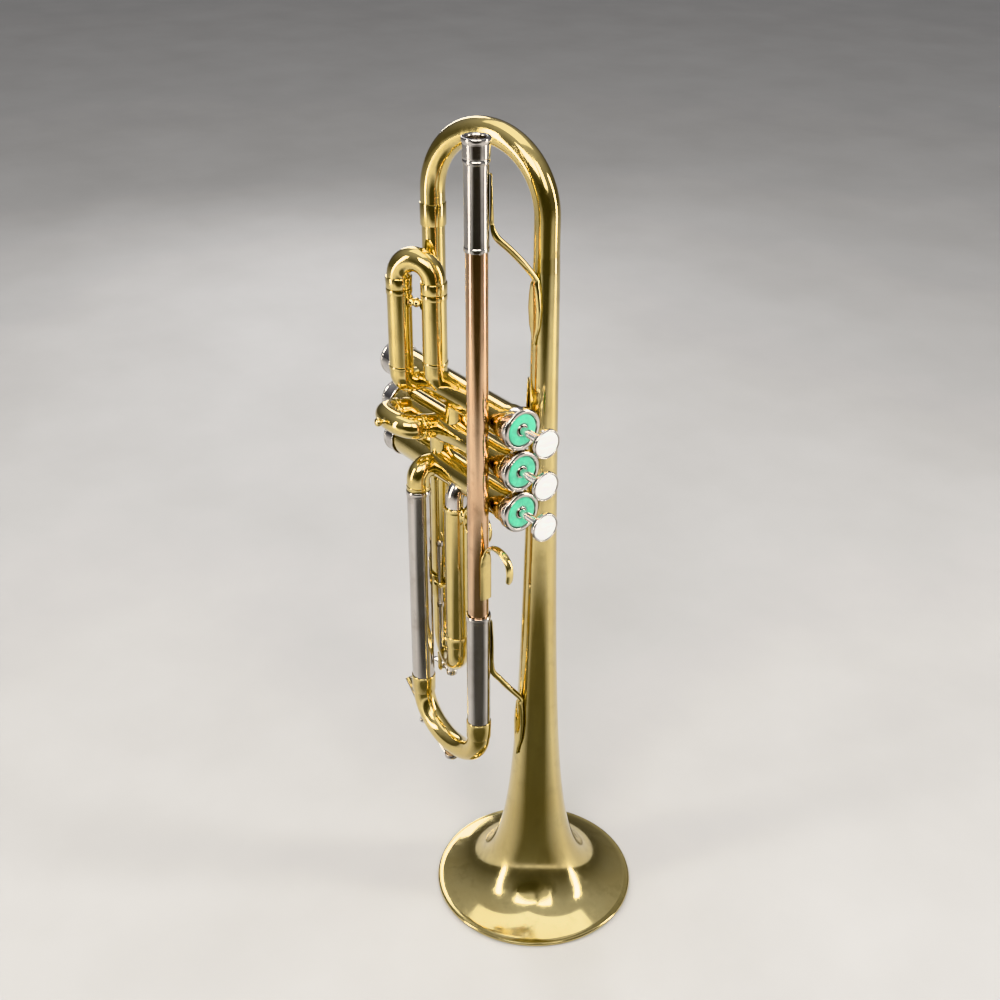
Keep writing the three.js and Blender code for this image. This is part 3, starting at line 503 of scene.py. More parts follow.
def cork():
    material, nodes, links, shader = tree("cork")
    place = add(nodes, "ShaderNodeTexCoord").outputs["Object"]
    cells = add(nodes, "ShaderNodeTexVoronoi", Scale=1600)
    links.new(place, cells.inputs["Vector"])
    grain = noise(nodes, links, place, 700, 5)
    colour = ramp(nodes, links, grain, [(0.35, (0.30, 0.18, 0.09)), (0.65, (0.56, 0.38, 0.21))])
    links.new(colour, shader.inputs["Base Color"])
    put(shader, {"Roughness": 0.85})
    relief(nodes, links, shader, cells.outputs["Distance"], 0.4, 0.0003)
    return material


FINISHES = {
    "lacquered_brass": BRASS, "rose_brass": ROSE, "nickel_silver": NICKEL, "valve_steel": STEEL,
    "green_felt": felt(), "pearl": pearl(), "cork": cork(),
}

# ---------------------------------------------------------------- bell, bow and tail


def bell_radius(z):
    lip = RIM_R - BEAD_R
    return lip * ((2 * BEAD_R + 4) / (z + 4)) ** 0.52


def build_bell():
    top = BELL_HIGH.z
    outline = []
    centre_r, centre_z = RIM_R - BEAD_R, BEAD_R
    for k in range(17):
        angle = math.radians(-125 + 235 * k / 16)
        outline.append((centre_r + BEAD_R * math.cos(angle), centre_z + BEAD_R * math.sin(angle)))
    outline[0] = (outline[0][0], max(outline[0][1], 0.2))
    heights = []
    z = 3.4
    while z < top:
        heights.append(z)
        z += max(0.35, (z - 2) * 0.055)
    heights.append(top)
    outline += [(bell_radius(h), h) for h in heights]
    for h in reversed(heights):
        slope = (bell_radius(h + 0.01) - bell_radius(h)) / 0.01
        size = math.hypot(1, slope)
        outline.append((bell_radius(h) - 0.55 / size, min(h + 0.55 * slope / size, top)))
    mesh = lathe(outline, 128, "Z", BELL, 0)
    make("bell_flare", *mesh, BODY, "lacquered_brass", "bell", 50, DARK_BRASS)


def build_bow():
    high = box("bell_bow")[1]
    radius = high.x - BELL.x
    tube = (radius, radius - CROOK_WALL)
    middle = (BELL + Vector((TAIL.x, TAIL.y, 0))) / 2
    half = (Vector((BELL.x, BELL.y, 0)) - middle).length
    centre_z = high.z - radius - half
    seam = box("bell_tail_tube")[1].z
    start = Vector((BELL.x, BELL.y, BELL_HIGH.z + 0.05))
    run = Run(start, (0, 0, 1))
    tip = bell_radius(BELL_HIGH.z)
    run.station(tip, tip - CROOK_WALL)
    run.at = start + Vector((0, 0, 8))
    run.station(radius + 0.05, radius - 0.55)
    run.straight(centre_z - run.at.z, *tube, 3)
    run.arch((TAIL.x, TAIL.y, centre_z), half, *tube, 64)
    run.straight(centre_z - seam - 0.15, *tube, 2)
    make("bow_tube", *run.mesh(), BODY, "lacquered_brass", "bell_bow", 50)

    vertical, _ = onto_casing(VALVES[0])
    inside = radius - 1.1
    run = Run((TAIL.x, TAIL.y, seam), (0, 0, -1))
    run.edge(12, radius + 0.35, radius - 0.8, 0.3)
    run.straight(3, radius - 0.45, inside)
    run.at.z = VALVES[0].z + CASING_R + 6
    run.station(radius - 0.45, inside)
    run.at.z = VALVES[0].z + CASING_R
    run.station(radius - 0.4, inside)
    make("tail_tube", *run.mesh((None, vertical(1))), BODY, "lacquered_brass", "bell_tail_tube")


# ---------------------------------------------------------------- leadpipe, receiver and main outers


def build_leadpipe():
    low, high = box("leadpipe")
    receiver_low, receiver_high = box("mouthpiece_receiver")
    centre = (LEADPIPE.x, LEADPIPE.y, 0)
    outline = [(5.35, low.z), (6.05, low.z), (5.62, high.z), (4.9, high.z)]
    make("leadpipe_tube", *lathe(outline, 64, "Z", centre, 0.1), BODY, "rose_brass", "leadpipe")
    z0, z1 = receiver_low.z, receiver_high.z
    floor = high.z + 0.3
    outline = [
        (5.75, z0), (6.25, z0), (6.45, z0 + 0.4), (6.45, z0 + 2.2), (6.2, z0 + 2.6), (6.2, z1 - 12.8),
        (6.55, z1 - 12.4), (6.75, z1 - 11.9), (6.75, z1 - 11.1), (6.5, z1 - 10.7), (6.45, z1 - 10.2),
        (6.75, z1 - 9.6), (6.85, z1 - 3.2), (7.2, z1 - 2.4), (7.4, z1 - 1.4), (7.4, z1 - 0.5), (7.1, z1),
        (5.4, z1), (5.0, z1 - 0.8), (4.5, z1 - 26), (4.5, floor), (5.75, floor),
    ]
    make("receiver", *lathe(outline, 72, "Z", centre, 0.12), BODY, "nickel_silver", "mouthpiece_receiver")


def build_main_outers():
    bore = TUBE_R - LEG_WALL
    for node, name in (("main_outer_upper", "outer_upper"), ("main_outer_lower", "outer_lower")):
        low, high = box(node)
        centre = (low + high) / 2
        end = high.z
        outline = [
            (bore, low.z), (TUBE_R, low.z), (TUBE_R, end - 3.6), (TUBE_R + 0.32, end - 3.3),
            (MOUTH_R, end - 2.6), (MOUTH_R, end - 0.9), (TUBE_R + 0.15, end - 0.1), (bore, end),
        ]
        make(name, *lathe(outline, 64, "Z", (centre.x, centre.y, 0), 0.1), BODY, "nickel_silver", node)


def build_third_elbow():
    valve = VALVES[2]
    low = box("third_valve_elbow")[0]
    radius = valve.y - CASING_R - MAIN_LOW.y - 0.4
    _, sideways = onto_casing(valve)
    run = Run((MAIN_LOW.x, MAIN_LOW.y, low.z), (0, 0, 1))
    length = valve.z - radius - low.z
    run.edge(2.4, CROOK_R + 0.3, CROOK_R - 0.8)
    run.straight(length - 2.4, *ELBOW)
    run.bend((0, 1, 0), radius, math.pi / 2, *ELBOW, 16)
    run.at.y = valve.y - CASING_R
    run.station(*ELBOW)
    run.station(*ELBOW)
    make("third_elbow", *run.mesh((None, sideways)), BODY, "lacquered_brass", "third_valve_elbow")


# ---------------------------------------------------------------- valves


def build_valve(n):
    valve = VALVES[n - 1]
    origin = (0, valve.y, valve.z)
    body = f"valve_{n}"
    low, high = box(f"valve_casing_{n}")
    ring_r = (high.z - low.z) / 2
    cap_low = box(f"top_cap_{n}")[0].x
    bore, shoulder = CASING_R - CASING_WALL, cap_low - 0.3
    outline = [
        (bore, low.x), (CASING_R, low.x), (CASING_R, cap_low - 5.6), (CASING_R + 0.3, cap_low - 5.2),
        (ring_r, cap_low - 4.9), (ring_r, shoulder), (CASING_R, shoulder), (CASING_R, high.x), (bore, high.x),
    ]
    make(f"casing_{n}", *lathe(outline, 72, "X", origin, 0.1), BODY, "lacquered_brass", f"valve_casing_{n}")

    low, high = box(f"top_cap_{n}")
    rim = high.x
    skirt, seat = CASING_R + 0.25, box(f"valve_casing_{n}")[1].x + GAP
    big = (high.z - low.z) / 2
    outline = [
        (skirt, low.x), (big - 1.3, low.x), (big - 0.9, low.x + 0.4), (big - 0.9, low.x + 2.0),
        (big - 0.3, low.x + 2.4), (big, low.x + 2.9), (big, rim - 1.1), (big - 0.35, rim - 0.4),
        (big - 1.1, rim), (9.4, rim), (9.0, rim - 0.5), (9.0, seat + 1.6), (3.45, seat + 1.6),
        (3.45, rim - 0.6), (3.2, rim - 0.3), (2.65, rim - 0.3), (2.65, seat), (skirt, seat),
    ]
    make(f"upper_cap_{n}", *lathe(outline, 96, "X", origin, 0.12), BODY, "nickel_silver", f"top_cap_{n}")
    build_felt(n, origin, seat + 1.6 + GAP, rim - 0.2)

    low, high = box(f"bottom_cap_{n}")
    big = (high.z - low.z) / 2
    floor = box(f"valve_casing_{n}")[0].x - GAP
    end = low.x
    outline = [
        (1.5, end + 0.9), (3.0, end + 0.9), (3.4, end + 0.4), (5.2, end + 0.3), (big - 2.0, end + 0.35),
        (big - 1.6, end), (big - 0.6, end), (big, end + 0.7), (big, end + 1.6), (big - 0.35, end + 2.0),
        (big - 0.35, high.x - 2.0), (big, high.x - 1.7), (big, high.x - 0.4), (big - 0.3, high.x),
        (skirt, high.x), (skirt, floor), (1.5, floor),
    ]
    make(f"lower_cap_{n}", *lathe(outline, 80, "X", origin, 0.12), BODY, "nickel_silver", f"bottom_cap_{n}")

    build_piston(n, origin)
    low, high = box(f"finger_button_{n}")
    r = (high.z - low.z) / 2
    top = high.x
    outline = [
        (0, low.x), (2.6, low.x), (3.2, low.x + 0.5), (r - 1.6, low.x + 0.9), (r - 0.5, low.x + 1.5),
        (r, low.x + 2.2), (r, top - 0.5), (r - 0.3, top), (r - 0.9, top), (r - 1.0, top - 0.3),
        (r - 1.0, top - 1.2), (0, top - 1.2),
    ]
    make(f"button_{n}", *lathe(outline, 72, "X", origin, 0.15), body, "nickel_silver", f"finger_button_{n}")
    r -= 1.15
    outline = [(0, top - 0.9), (r, top - 0.9), (r, top - 0.35)]
    outline += [(r * math.cos(a), top - 0.35 + 0.75 * math.sin(a)) for a in (0.35, 0.7, 1.0, 1.25)]
    outline += [(0, top + 0.4)]
    make(f"pearl_{n}", *lathe(outline, 72, "X", origin, 0.05), body, "pearl", f"button_pearl_{n}")


def build_felt(n, origin, low, high):
    """A pressed felt ring whose top and edge are uneven."""
    rings = [
        (3.75, low), (8.65, low), (8.78, (low + high) / 2), (8.6, high - 0.25), (8.2, high + 0.02),
        (7.4, high + 0.12), (6.4, high + 0.1), (5.2, high + 0.08), (4.2, high + 0.02), (3.75, high - 0.3),
    ]
    vertices, faces = lathe(rings, 96, "X", (0, 0, 0), 0)
    x0, y0, z0 = origin
    shaped = []
    for v in vertices:
        angle = math.atan2(v.z, v.y)
        lift = 0.05 * math.sin(5 * angle + n) + 0.04 * math.sin(11 * angle + 2 * n)
        lift += 0.03 * math.sin(23 * angle)
        share = max(0.0, min(1.0, (v.x - low) / (high - low)))
        out = 1 + 0.004 * math.sin(9 * angle + n) * share
        shaped.append(Vector((v.x + lift * share + x0, v.y * out + y0, v.z * out + z0)))
    make(f"felt_{n}", shaped, faces, BODY, "green_felt", f"cap_felt_{n}", 60)


def build_piston(n, origin):
    low, high = box(f"piston_{n}")
    r = CASING_R - CASING_WALL - 0.15
    barrel = low.x + 52.5
    top = box(f"valve_casing_{n}")[1].x - 0.5
    outline = [
        (0, low.x + 7), (r - 1, low.x + 7), (r - 1, low.x), (r, low.x), (r, barrel), (r - 0.4, barrel + 0.5),
        (r - 0.4, top), (2.25, top), (2.25, high.x), (0, high.x),
    ]
    mesh = lathe(outline, 56, "X", origin, 0.12)
    make(f"piston_stem_{n}", *mesh, f"valve_{n}", "valve_steel", f"piston_{n}")


def build_knuckles():
    for (a, b), node in (((0, 1), "knuckle_1_2"), ((1, 2), "knuckle_2_3")):
        x = mid(node).x
        up, _ = onto_casing(VALVES[a])
        down, _ = onto_casing(VALVES[b])
        run = Run((x, VALVES[a].y, VALVES[a].z - CASING_R), (0, 0, -1))
        run.station(*ELBOW)
        run.at.z = VALVES[b].z + CASING_R
        run.station(*ELBOW)
        make(node.replace("knuckle", "link"), *run.mesh((up(-1), down(1))), BODY, "lacquered_brass", node)


# ---------------------------------------------------------------- main tuning slide


def build_main_slide():
    low, high = box("main_slide_bow")
    top = high.z
    seam = box("main_outer_upper")[0].z - GAP
    half = (MAIN_UP.x - MAIN_LOW.x) / 2
    drop = half * 0.93
    centre_z = low.z + CROOK_R + drop
    foot = seam - 11.5
    run = Run((MAIN_UP.x, MAIN_UP.y, top), (0, 0, -1))
    run.straight(top - seam, *LEG)
    run.edge(seam - foot, *FERRULE, 0.3)
    run.station(*CROOK)
    run.at.z = foot
    run.arch((MAIN_LOW.x, MAIN_LOW.y, foot), drop - (centre_z - foot), *CROOK, 56)
    run.edge(seam - foot, *FERRULE, 0.3)
    run.straight(top - seam, *LEG)
    make("tuning_bow", *run.mesh(), "main_slide", "lacquered_brass", "main_slide_bow", 40)
    centre = ((MAIN_UP.x + MAIN_LOW.x) / 2, MAIN_UP.y, 0)
    outline = [
        (1.3, low.z - 1.1), (2.6, low.z - 1.1), (2.6, low.z - 0.2), (3.4, low.z + 0.7), (1.3, low.z + 0.6),
    ]
    make("tuning_bow_nipple", *lathe(outline, 40, "Z", centre, 0.15), "main_slide", "nickel_silver")


build_bell()
build_bow()
build_leadpipe()
build_main_outers()
build_third_elbow()
for number in (1, 2, 3):
    build_valve(number)
build_knuckles()
build_main_slide()

# ---------------------------------------------------------------- first slide


def ring_edge(run):
    """The raised ring at the mouth of an outer tube."""
    return run.edge(3.0, MOUTH_R, TUBE_R - LEG_WALL, 0.35)


def build_first_slide():
    valve = VALVES[0]
    crook_low, crook_high = box("first_slide_crook")
    low_leg = Vector((mid("first_outer_lower").x, box("first_outer_lower")[0].y + FERRULE_R, 0))
    high_leg = Vector((mid("first_outer_upper").x, box("first_outer_upper")[0].y + FERRULE_R, 0))
    mouth = box("first_outer_lower")[1].z
    _, sideways = onto_casing(valve)
    radius = valve.y - CASING_R - low_leg.y - 0.4
    run = Run((low_leg.x, low_leg.y, mouth), (0, 0, -1))
    ring_edge(run)
    end = valve.z + radius
    run.straight(run.at.z - end - 4.5, *TUBE)
    run.edge(2.2, TUBE_R + 0.35, TUBE_R - LEG_WALL)
    run.straight(run.at.z - end, *ELBOW)
    run.bend((0, 1, 0), radius, math.pi / 2, *ELBOW, 16)
    run.at.y = valve.y - CASING_R
    run.station(*ELBOW)
    make("first_lower_tube", *run.mesh((None, sideways)), BODY, "lacquered_brass", "first_outer_lower")

    bend, quarter = 10, math.pi / 4
    shift = bend * (1 - math.cos(quarter))
    lean = valve.y - high_leg.y - shift
    start = valve.z + lean + bend * math.sin(quarter)
    run = Run((high_leg.x, high_leg.y, mouth), (0, 0, -1))
    ring_edge(run)
    run.straight(run.at.z - start - 6, *TUBE)
    run.edge(2.2, TUBE_R + 0.35, TUBE_R - LEG_WALL)
    run.straight(run.at.z - start, *ELBOW)
    run.bend((0, 1, 0), bend, quarter, *ELBOW, 8)
    run.at = run.at + run.along * 1.0
    run.station(*ELBOW)
    ends = (None, along_onto_casing(valve, (0, 1, -1)))
    make("first_upper_tube", *run.mesh(ends), BODY, "lacquered_brass", "first_outer_upper")

    z = mid("first_slide_brace").z
    a, b = Vector((low_leg.x, low_leg.y, z)), Vector((high_leg.x, high_leg.y, z))
    along = (b - a).normalized()
    length = (b - a).length
    middle = length / 2
    radii = [
        (TUBE_R - 0.1, 3.6), (TUBE_R + 0.35, 3.1), (TUBE_R + 0.9, 2.4), (TUBE_R + 1.6, 2.05),
        (middle - 1.1, 2.0), (middle - 0.7, 2.5), (middle, 2.6),
    ]
    stations = radii + [(length - d, r) for d, r in reversed(radii[:-1])]
    post = turned_along(a, along, stations)
    make("slide_post", *post, BODY, "lacquered_brass", "first_slide_brace", 60)

    foot = mouth + GAP
    top_run = 6.2
    run = Run((low_leg.x, low_leg.y, crook_low.z), (0, 0, 1))
    run.straight(foot - crook_low.z, *LEG)
    run.edge(top_run, *FERRULE, 0.3)
    run.station(*CROOK)
    rise = crook_high.z - CROOK_R - run.at.z
    run.arch((high_leg.x, high_leg.y, run.at.z), rise, *CROOK, 48)
    run.edge(top_run, *FERRULE, 0.3)
    run.straight(foot - crook_low.z, *LEG)
    make("first_crook", *run.mesh(), "first_slide", "lacquered_brass", "first_slide_crook", 40)


# ---------------------------------------------------------------- second slide


def build_second_slide():
    valve = VALVES[1]
    out = Vector(joint_of("second_slide")["axis"]).normalized()
    xs = [mid("second_outer_lower").x, mid("second_outer_upper").x]
    seam = 15.4
    names = ("second_back_tube", "second_front_tube")
    for node, x, name in zip(("second_outer_lower", "second_outer_upper"), xs, names):
        origin = Vector((x, valve.y, valve.z))
        run = Run(origin + out * seam, -out)
        run.edge(2.6, MOUTH_R, TUBE_R - LEG_WALL, 0.3)
        run.straight(1.5, *TUBE)
        run.at = origin + out * (CASING_R - 0.3)
        run.station(TUBE_R + 0.25, TUBE_R - LEG_WALL)
        make(name, *run.mesh((None, along_onto_casing(valve, -out))), BODY, "lacquered_brass", node)
    start = seam + GAP
    reach = 25.5
    a = Vector((xs[0], valve.y, valve.z))
    b = Vector((xs[1], valve.y, valve.z))
    run = Run(a + out * (CASING_R + 0.9), out)
    run.straight(start - CASING_R - 0.9, *LEG)
    run.edge(1.5, *FERRULE, 0.25)
    run.station(*CROOK)
    rise = reach - start - 1.5
    other = b + out * (start + 1.5)
    run.arch(other, rise, *CROOK, 56, 0.85)
    run.edge(1.5, *FERRULE, 0.25)
    run.straight(start - CASING_R - 0.9, *LEG)
    make("second_crook", *run.mesh(), "second_slide", "lacquered_brass", "second_slide_crook", 40)
    tip = (a + b) / 2 + out * (reach + CROOK_R - 0.5)
    stations = [
        (0, 2.6), (0.5, 2.0), (0.9, 1.4), (1.9, 1.3), (2.3, 1.6), (2.8, 2.15), (3.5, 2.5), (4.3, 2.5),
        (5.0, 2.15), (5.5, 1.5), (5.8, 0.6),
    ]
    make("second_knob", *turned_along(tip, out, stations), "second_slide", "lacquered_brass", None, 60)


# ---------------------------------------------------------------- third slide


def build_third_slide():
    valve = VALVES[2]
    vertical, _ = onto_casing(valve)
    outer = mid("third_outer_lower")
    sleeve_x = mid("third_inner_upper").x
    sleeve_y = box("third_inner_upper")[0].y + LEG_R
    end = box("third_outer_lower")[0].z
    run = Run((outer.x, outer.y, end), (0, 0, 1))
    ring_edge(run)
    run.straight(valve.z - CASING_R - run.at.z - 4, *TUBE)
    run.at.z = valve.z - CASING_R
    run.station(*TUBE)
    make("third_fixed_tube", *run.mesh((None, vertical(-1))), BODY, "lacquered_brass", "third_outer_lower")

    bend, quarter = 8, math.pi / 4
    lean = valve.y - sleeve_y - bend * (1 - math.cos(quarter))
    start = valve.z - lean - bend * math.sin(quarter)
    low = box("third_inner_upper")[0].z
    run = Run((sleeve_x, sleeve_y, low), (0, 0, 1))
    run.straight(start - low, *LEG)
    run.bend((0, 1, 0), bend, quarter, *LEG, 8)
    run.at = run.at + run.along
    run.station(*LEG)
    ends = (None, along_onto_casing(valve, (0, 1, 1)))
    make("third_inner_tube", *run.mesh(ends), BODY, "nickel_silver", "third_inner_upper")

    top_sleeve = box("third_slide_crook")[1].z
    foot = end - GAP
    centre_z = 165.7
    half = (Vector((sleeve_x, sleeve_y)) - Vector((outer.x, outer.y))).length / 2
    run = Run((outer.x, outer.y, valve.z - 16), (0, 0, -1))
    run.straight(run.at.z - foot, *LEG)
    run.edge(11, *FERRULE, 0.3)
    run.straight(run.at.z - centre_z, *CROOK)
    run.arch((sleeve_x, sleeve_y, centre_z), half, *CROOK, 48)
    run.straight(4, *CROOK)
    run.edge(7, FERRULE_R, CROOK_R - 0.6, 0.3)
    run.straight(top_sleeve - 3.2 - run.at.z, *TUBE)
    ring_edge(run)
    make("third_crook", *run.mesh(), "third_slide", "lacquered_brass", "third_slide_crook", 40)
    build_third_key(outer, Vector((sleeve_x, sleeve_y, 0)), centre_z - half - CROOK_R)
    build_finger_ring(sleeve_x, sleeve_y)
    build_stop_rod()


def ribbon(path, half_widths, half_depths, across, corner=3.0, sides=28):
    """A strip with a softly rounded section. across is the width direction, or one for each station."""
    vertices, faces, loops = [], [], []
    for i, (point, along) in enumerate(path):
        wide = across[i] if isinstance(across, list) else across
        wide = (wide - along * wide.dot(along)).normalized()
        deep = along.cross(wide)
        start = len(vertices)
        for k in range(sides):
            angle = TAU * k / sides
            c, s = math.cos(angle), math.sin(angle)
            u = math.copysign(abs(c) ** (2 / corner), c) * half_widths[i]
            v = math.copysign(abs(s) ** (2 / corner), s) * half_depths[i]
            vertices.append(point + wide * u + deep * v)
        loops.append(list(range(start, start + sides)))
    for a, b in zip(loops, loops[1:]):
        for k in range(sides):
            n = (k + 1) % sides
            faces.append((a[k], a[n], b[n], b[k]))
    faces += [tuple(reversed(loops[0])), tuple(loops[-1])]
    return vertices, faces


def smooth_points(points, steps=6):
    """Points on a smooth curve through the given ones."""
    points = [Vector(p) for p in points]
    out = []
    for i in range(len(points) - 1):
        p0 = points[i - 1] if i else points[0] * 2 - points[1]
        p1, p2 = points[i], points[i + 1]
        p3 = points[i + 2] if i + 2 < len(points) else points[-1] * 2 - points[-2]
        for k in range(steps):
            t = k / steps
            slope, bend = p2 - p0, 2 * p0 - 5 * p1 + 4 * p2 - p3
            out.append(0.5 * (2 * p1 + slope * t + bend * t * t + (3 * p1 - p0 - 3 * p2 + p3) * t ** 3))
    out.append(points[-1])
    return out


def with_directions(points):
    out = []
    for i, p in enumerate(points):
        a, b = points[max(i - 1, 0)], points[min(i + 1, len(points) - 1)]
        out.append((p, (b - a).normalized()))
    return out


def build_third_key(a, b, bottom):
    y = (a.y + b.y) / 2
    x = (a.x + b.x) / 2
    px, _, pz = (v / MM for v in joint_of("third_water_key")["pos_m"])
    low = box("third_water_key_lever")[0]
    flat = [(low.x + 0.6, pz - 1.5), (px - 7, pz - 0.3), (px, pz), (x - 1, pz - 0.6), (x + 3.0, pz - 0.6)]
    points = smooth_points([(q[0], y, q[1]) for q in flat], 6)
    count = len(points)
    widths = [2.4 if i < 5 else 1.7 for i in range(count)]
    lever = ribbon(with_directions(points), widths, [0.65] * count, Vector((0, 1, 0)))
    eye = lathe([(0, -1.9), (1.9, -1.9), (1.9, 1.9), (0, 1.9)], 32, "Y", (px, y, pz), 0.2)
    lip = bottom - 1.9
    outline = [(0, pz - 1.4), (3.3, pz - 1.4), (3.5, pz + 1.6), (3.0, pz + 1.6), (2.8, lip), (0, lip)]
    cup = lathe(outline, 40, "Z", (x, y, 0), 0.3)
    key = joined(lever, eye, cup)
    make("third_key", *key, "third_water_key", "nickel_silver", "third_water_key_lever", 50)
    cheeks = []
    for sign in (-1, 1):
        heights = (pz - 1.8, pz - 1.4, pz, pz + 4, bottom + 4.5)
        path = [(Vector((px, y + sign * 3.2, z)), Vector((0, 0, 1))) for z in heights]
        cheeks.append(ribbon(path, [1.0, 1.8, 2.0, 2.0, 2.2], [0.6] * 5, Vector((1, 0, 0)), 2.6))
    pin = lathe([(0, -4.2), (0.7, -4.2), (0.7, 4.2), (0, 4.2)], 24, "Y", (px, y, pz), 0.1)
    outline = [
        (1.1, bottom - 1.5), (2.4, bottom - 1.5), (2.6, bottom), (3.2, bottom + 1.2), (1.1, bottom + 1.2),
    ]
    nipple = lathe(outline, 36, "Z", (x, y, 0), 0.15)
    make("third_key_mount", *joined(*cheeks, pin, nipple), "third_slide", "lacquered_brass", None, 50)


def build_finger_ring(sleeve_x, sleeve_y):
    low, high = box("third_slide_finger_ring")
    outer = (high.z - low.z) / 2
    centre = Vector((high.x - outer, sleeve_y, (low.z + high.z) / 2))
    inner = outer - 2.0
    half = 2.0
    edge = outer - 0.4
    face = half * 0.5
    outline = [(inner, -half), (edge, -half), (outer, -face), (outer, face), (edge, half), (inner, half)]
    hoop = lathe(outline, 96, "Y", centre, 0.5)
    left = sleeve_x + TUBE_R + 0.05
    xs = (left, left + 0.5, left + 1.1, centre.x - outer + 0.6)
    path = [(Vector((x, centre.y, centre.z)), Vector((1, 0, 0))) for x in xs]
    foot = ribbon(path, [4.6, 4.4, 2.6, 2.0], [2.6, 2.5, 1.9, 1.7], Vector((0, 0, 1)), 2.4)
    slot, node = "lacquered_brass", "third_slide_finger_ring"
    make("finger_loop", *joined(hoop, foot), "third_slide", slot, node, 50)


def build_stop_rod():
    low, high = box("third_slide_stop_rod")
    centre = (low + high) / 2
    nut = (high.x - low.x) / 2
    rod, top = 1.2, high.z
    stations = [
        (low.z + 0.3, rod), (low.z + 1.5, rod), (186, rod), (186, nut), (189, nut), (189, rod),
        (top - 3.2, rod), (top - 3.2, nut), (top - 0.9, nut), (top - 0.5, nut - 0.5), (top - 0.4, 1.1),
        (top, 0.9),
    ]
    outline = [(0, stations[0][0])] + [(r, z) for z, r in stations] + [(0, top)]
    vertices, faces = lathe(outline, 6 * 8, "Z", (centre.x, centre.y, 0), 0.12)
    shaped = []
    for v in vertices:
        dx, dy = v.x - centre.x, v.y - centre.y
        r = math.hypot(dx, dy)
        if r > 1.5:
            angle = (math.atan2(dy, dx) % (TAU / 6)) - TAU / 12
            k = math.cos(TAU / 12) / math.cos(angle)
            dx, dy = dx * k, dy * k
        shaped.append(Vector((centre.x + dx, centre.y + dy, v.z)))
    make("stop_rod", shaped, faces, "third_slide", "nickel_silver", "third_slide_stop_rod", 25)


# ---------------------------------------------------------------- lyre holder and its screw


def soft_box(low, high, edge=0.5):
    """A box with eased edges as a ribbon along Z."""
    centre = (low + high) / 2
    zs = (low.z, low.z + edge * 0.3, low.z + edge, high.z - edge, high.z - edge * 0.3, high.z)
    shrink = (edge, edge * 0.3, 0, 0, edge * 0.3, edge)
    path = [(Vector((centre.x, centre.y, z)), Vector((0, 0, 1))) for z in zs]
    wide = [(high.x - low.x) / 2 - s for s in shrink]
    deep = [(high.y - low.y) / 2 - s for s in shrink]
    return ribbon(path, wide, deep, Vector((1, 0, 0)), 12, 48)


def build_lyre():
    z = box("lyre_holder")[0].z
    outer = mid("third_outer_lower")
    screw_low, screw_high = box("lyre_screw")
    screw = (screw_low + screw_high) / 2
    rod = mid("third_slide_stop_rod")
    near, far = TUBE_R + 0.5, 8.65
    collar = lathe([(near, z), (far, z), (far, z + 4), (near, z + 4)], 64, "Z", (outer.x, outer.y, 0), 0.3)
    corner = Vector((outer.x + 7.55 + 3.6, screw.y, z))
    walls = []
    for x0, y0, x1, y1 in ((-3.5, -4.5, 3.5, -2.95), (-3.5, 2.95, 3.5, 4.5), (-3.5, -3.2, -1.6, 3.2),
                           (2.0, -3.2, 3.5, 3.2)):
        walls.append(soft_box(corner + Vector((x0, y0, 0)), corner + Vector((x1, y1, 13)), 0.35))
    at = Vector((rod.x, rod.y, z))
    lug = soft_box(at + Vector((-3.4, -2.5, 0.4)), at + Vector((3, 2.5, 2.8)), 0.4)
    make("lyre_box", *joined(collar, *walls, lug), BODY, "lacquered_brass", "lyre_holder", 40)
    start, end = screw_low.x, screw_high.x
    outline = [
        (0, start), (1.2, start), (1.2, end - 2.4), (2.2, end - 2.0), (2.2, end - 1.4), (1.6, end - 1.0),
        (0, end - 1.0),
    ]
    shank = lathe(outline, 32, "X", (0, screw.y, screw.z), 0.15)
    offsets = (-3.0, -2.7, -1.6, 0, 1.6, 2.7, 3.0)
    wing = [(Vector((end - 1.4, screw.y + d, screw.z)), Vector((0, 1, 0))) for d in offsets]
    wide, deep = [0.5, 1.1, 1.4, 1.4, 1.4, 1.1, 0.5], [0.4, 0.55, 0.6, 0.6, 0.6, 0.55, 0.4]
    head = ribbon(wing, wide, deep, Vector((1, 0, 0)), 2.4)
    make("thumb_screw", *joined(shank, head), "lyre_thumbscrew", "nickel_silver", "lyre_screw", 50)


# ---------------------------------------------------------------- main water key


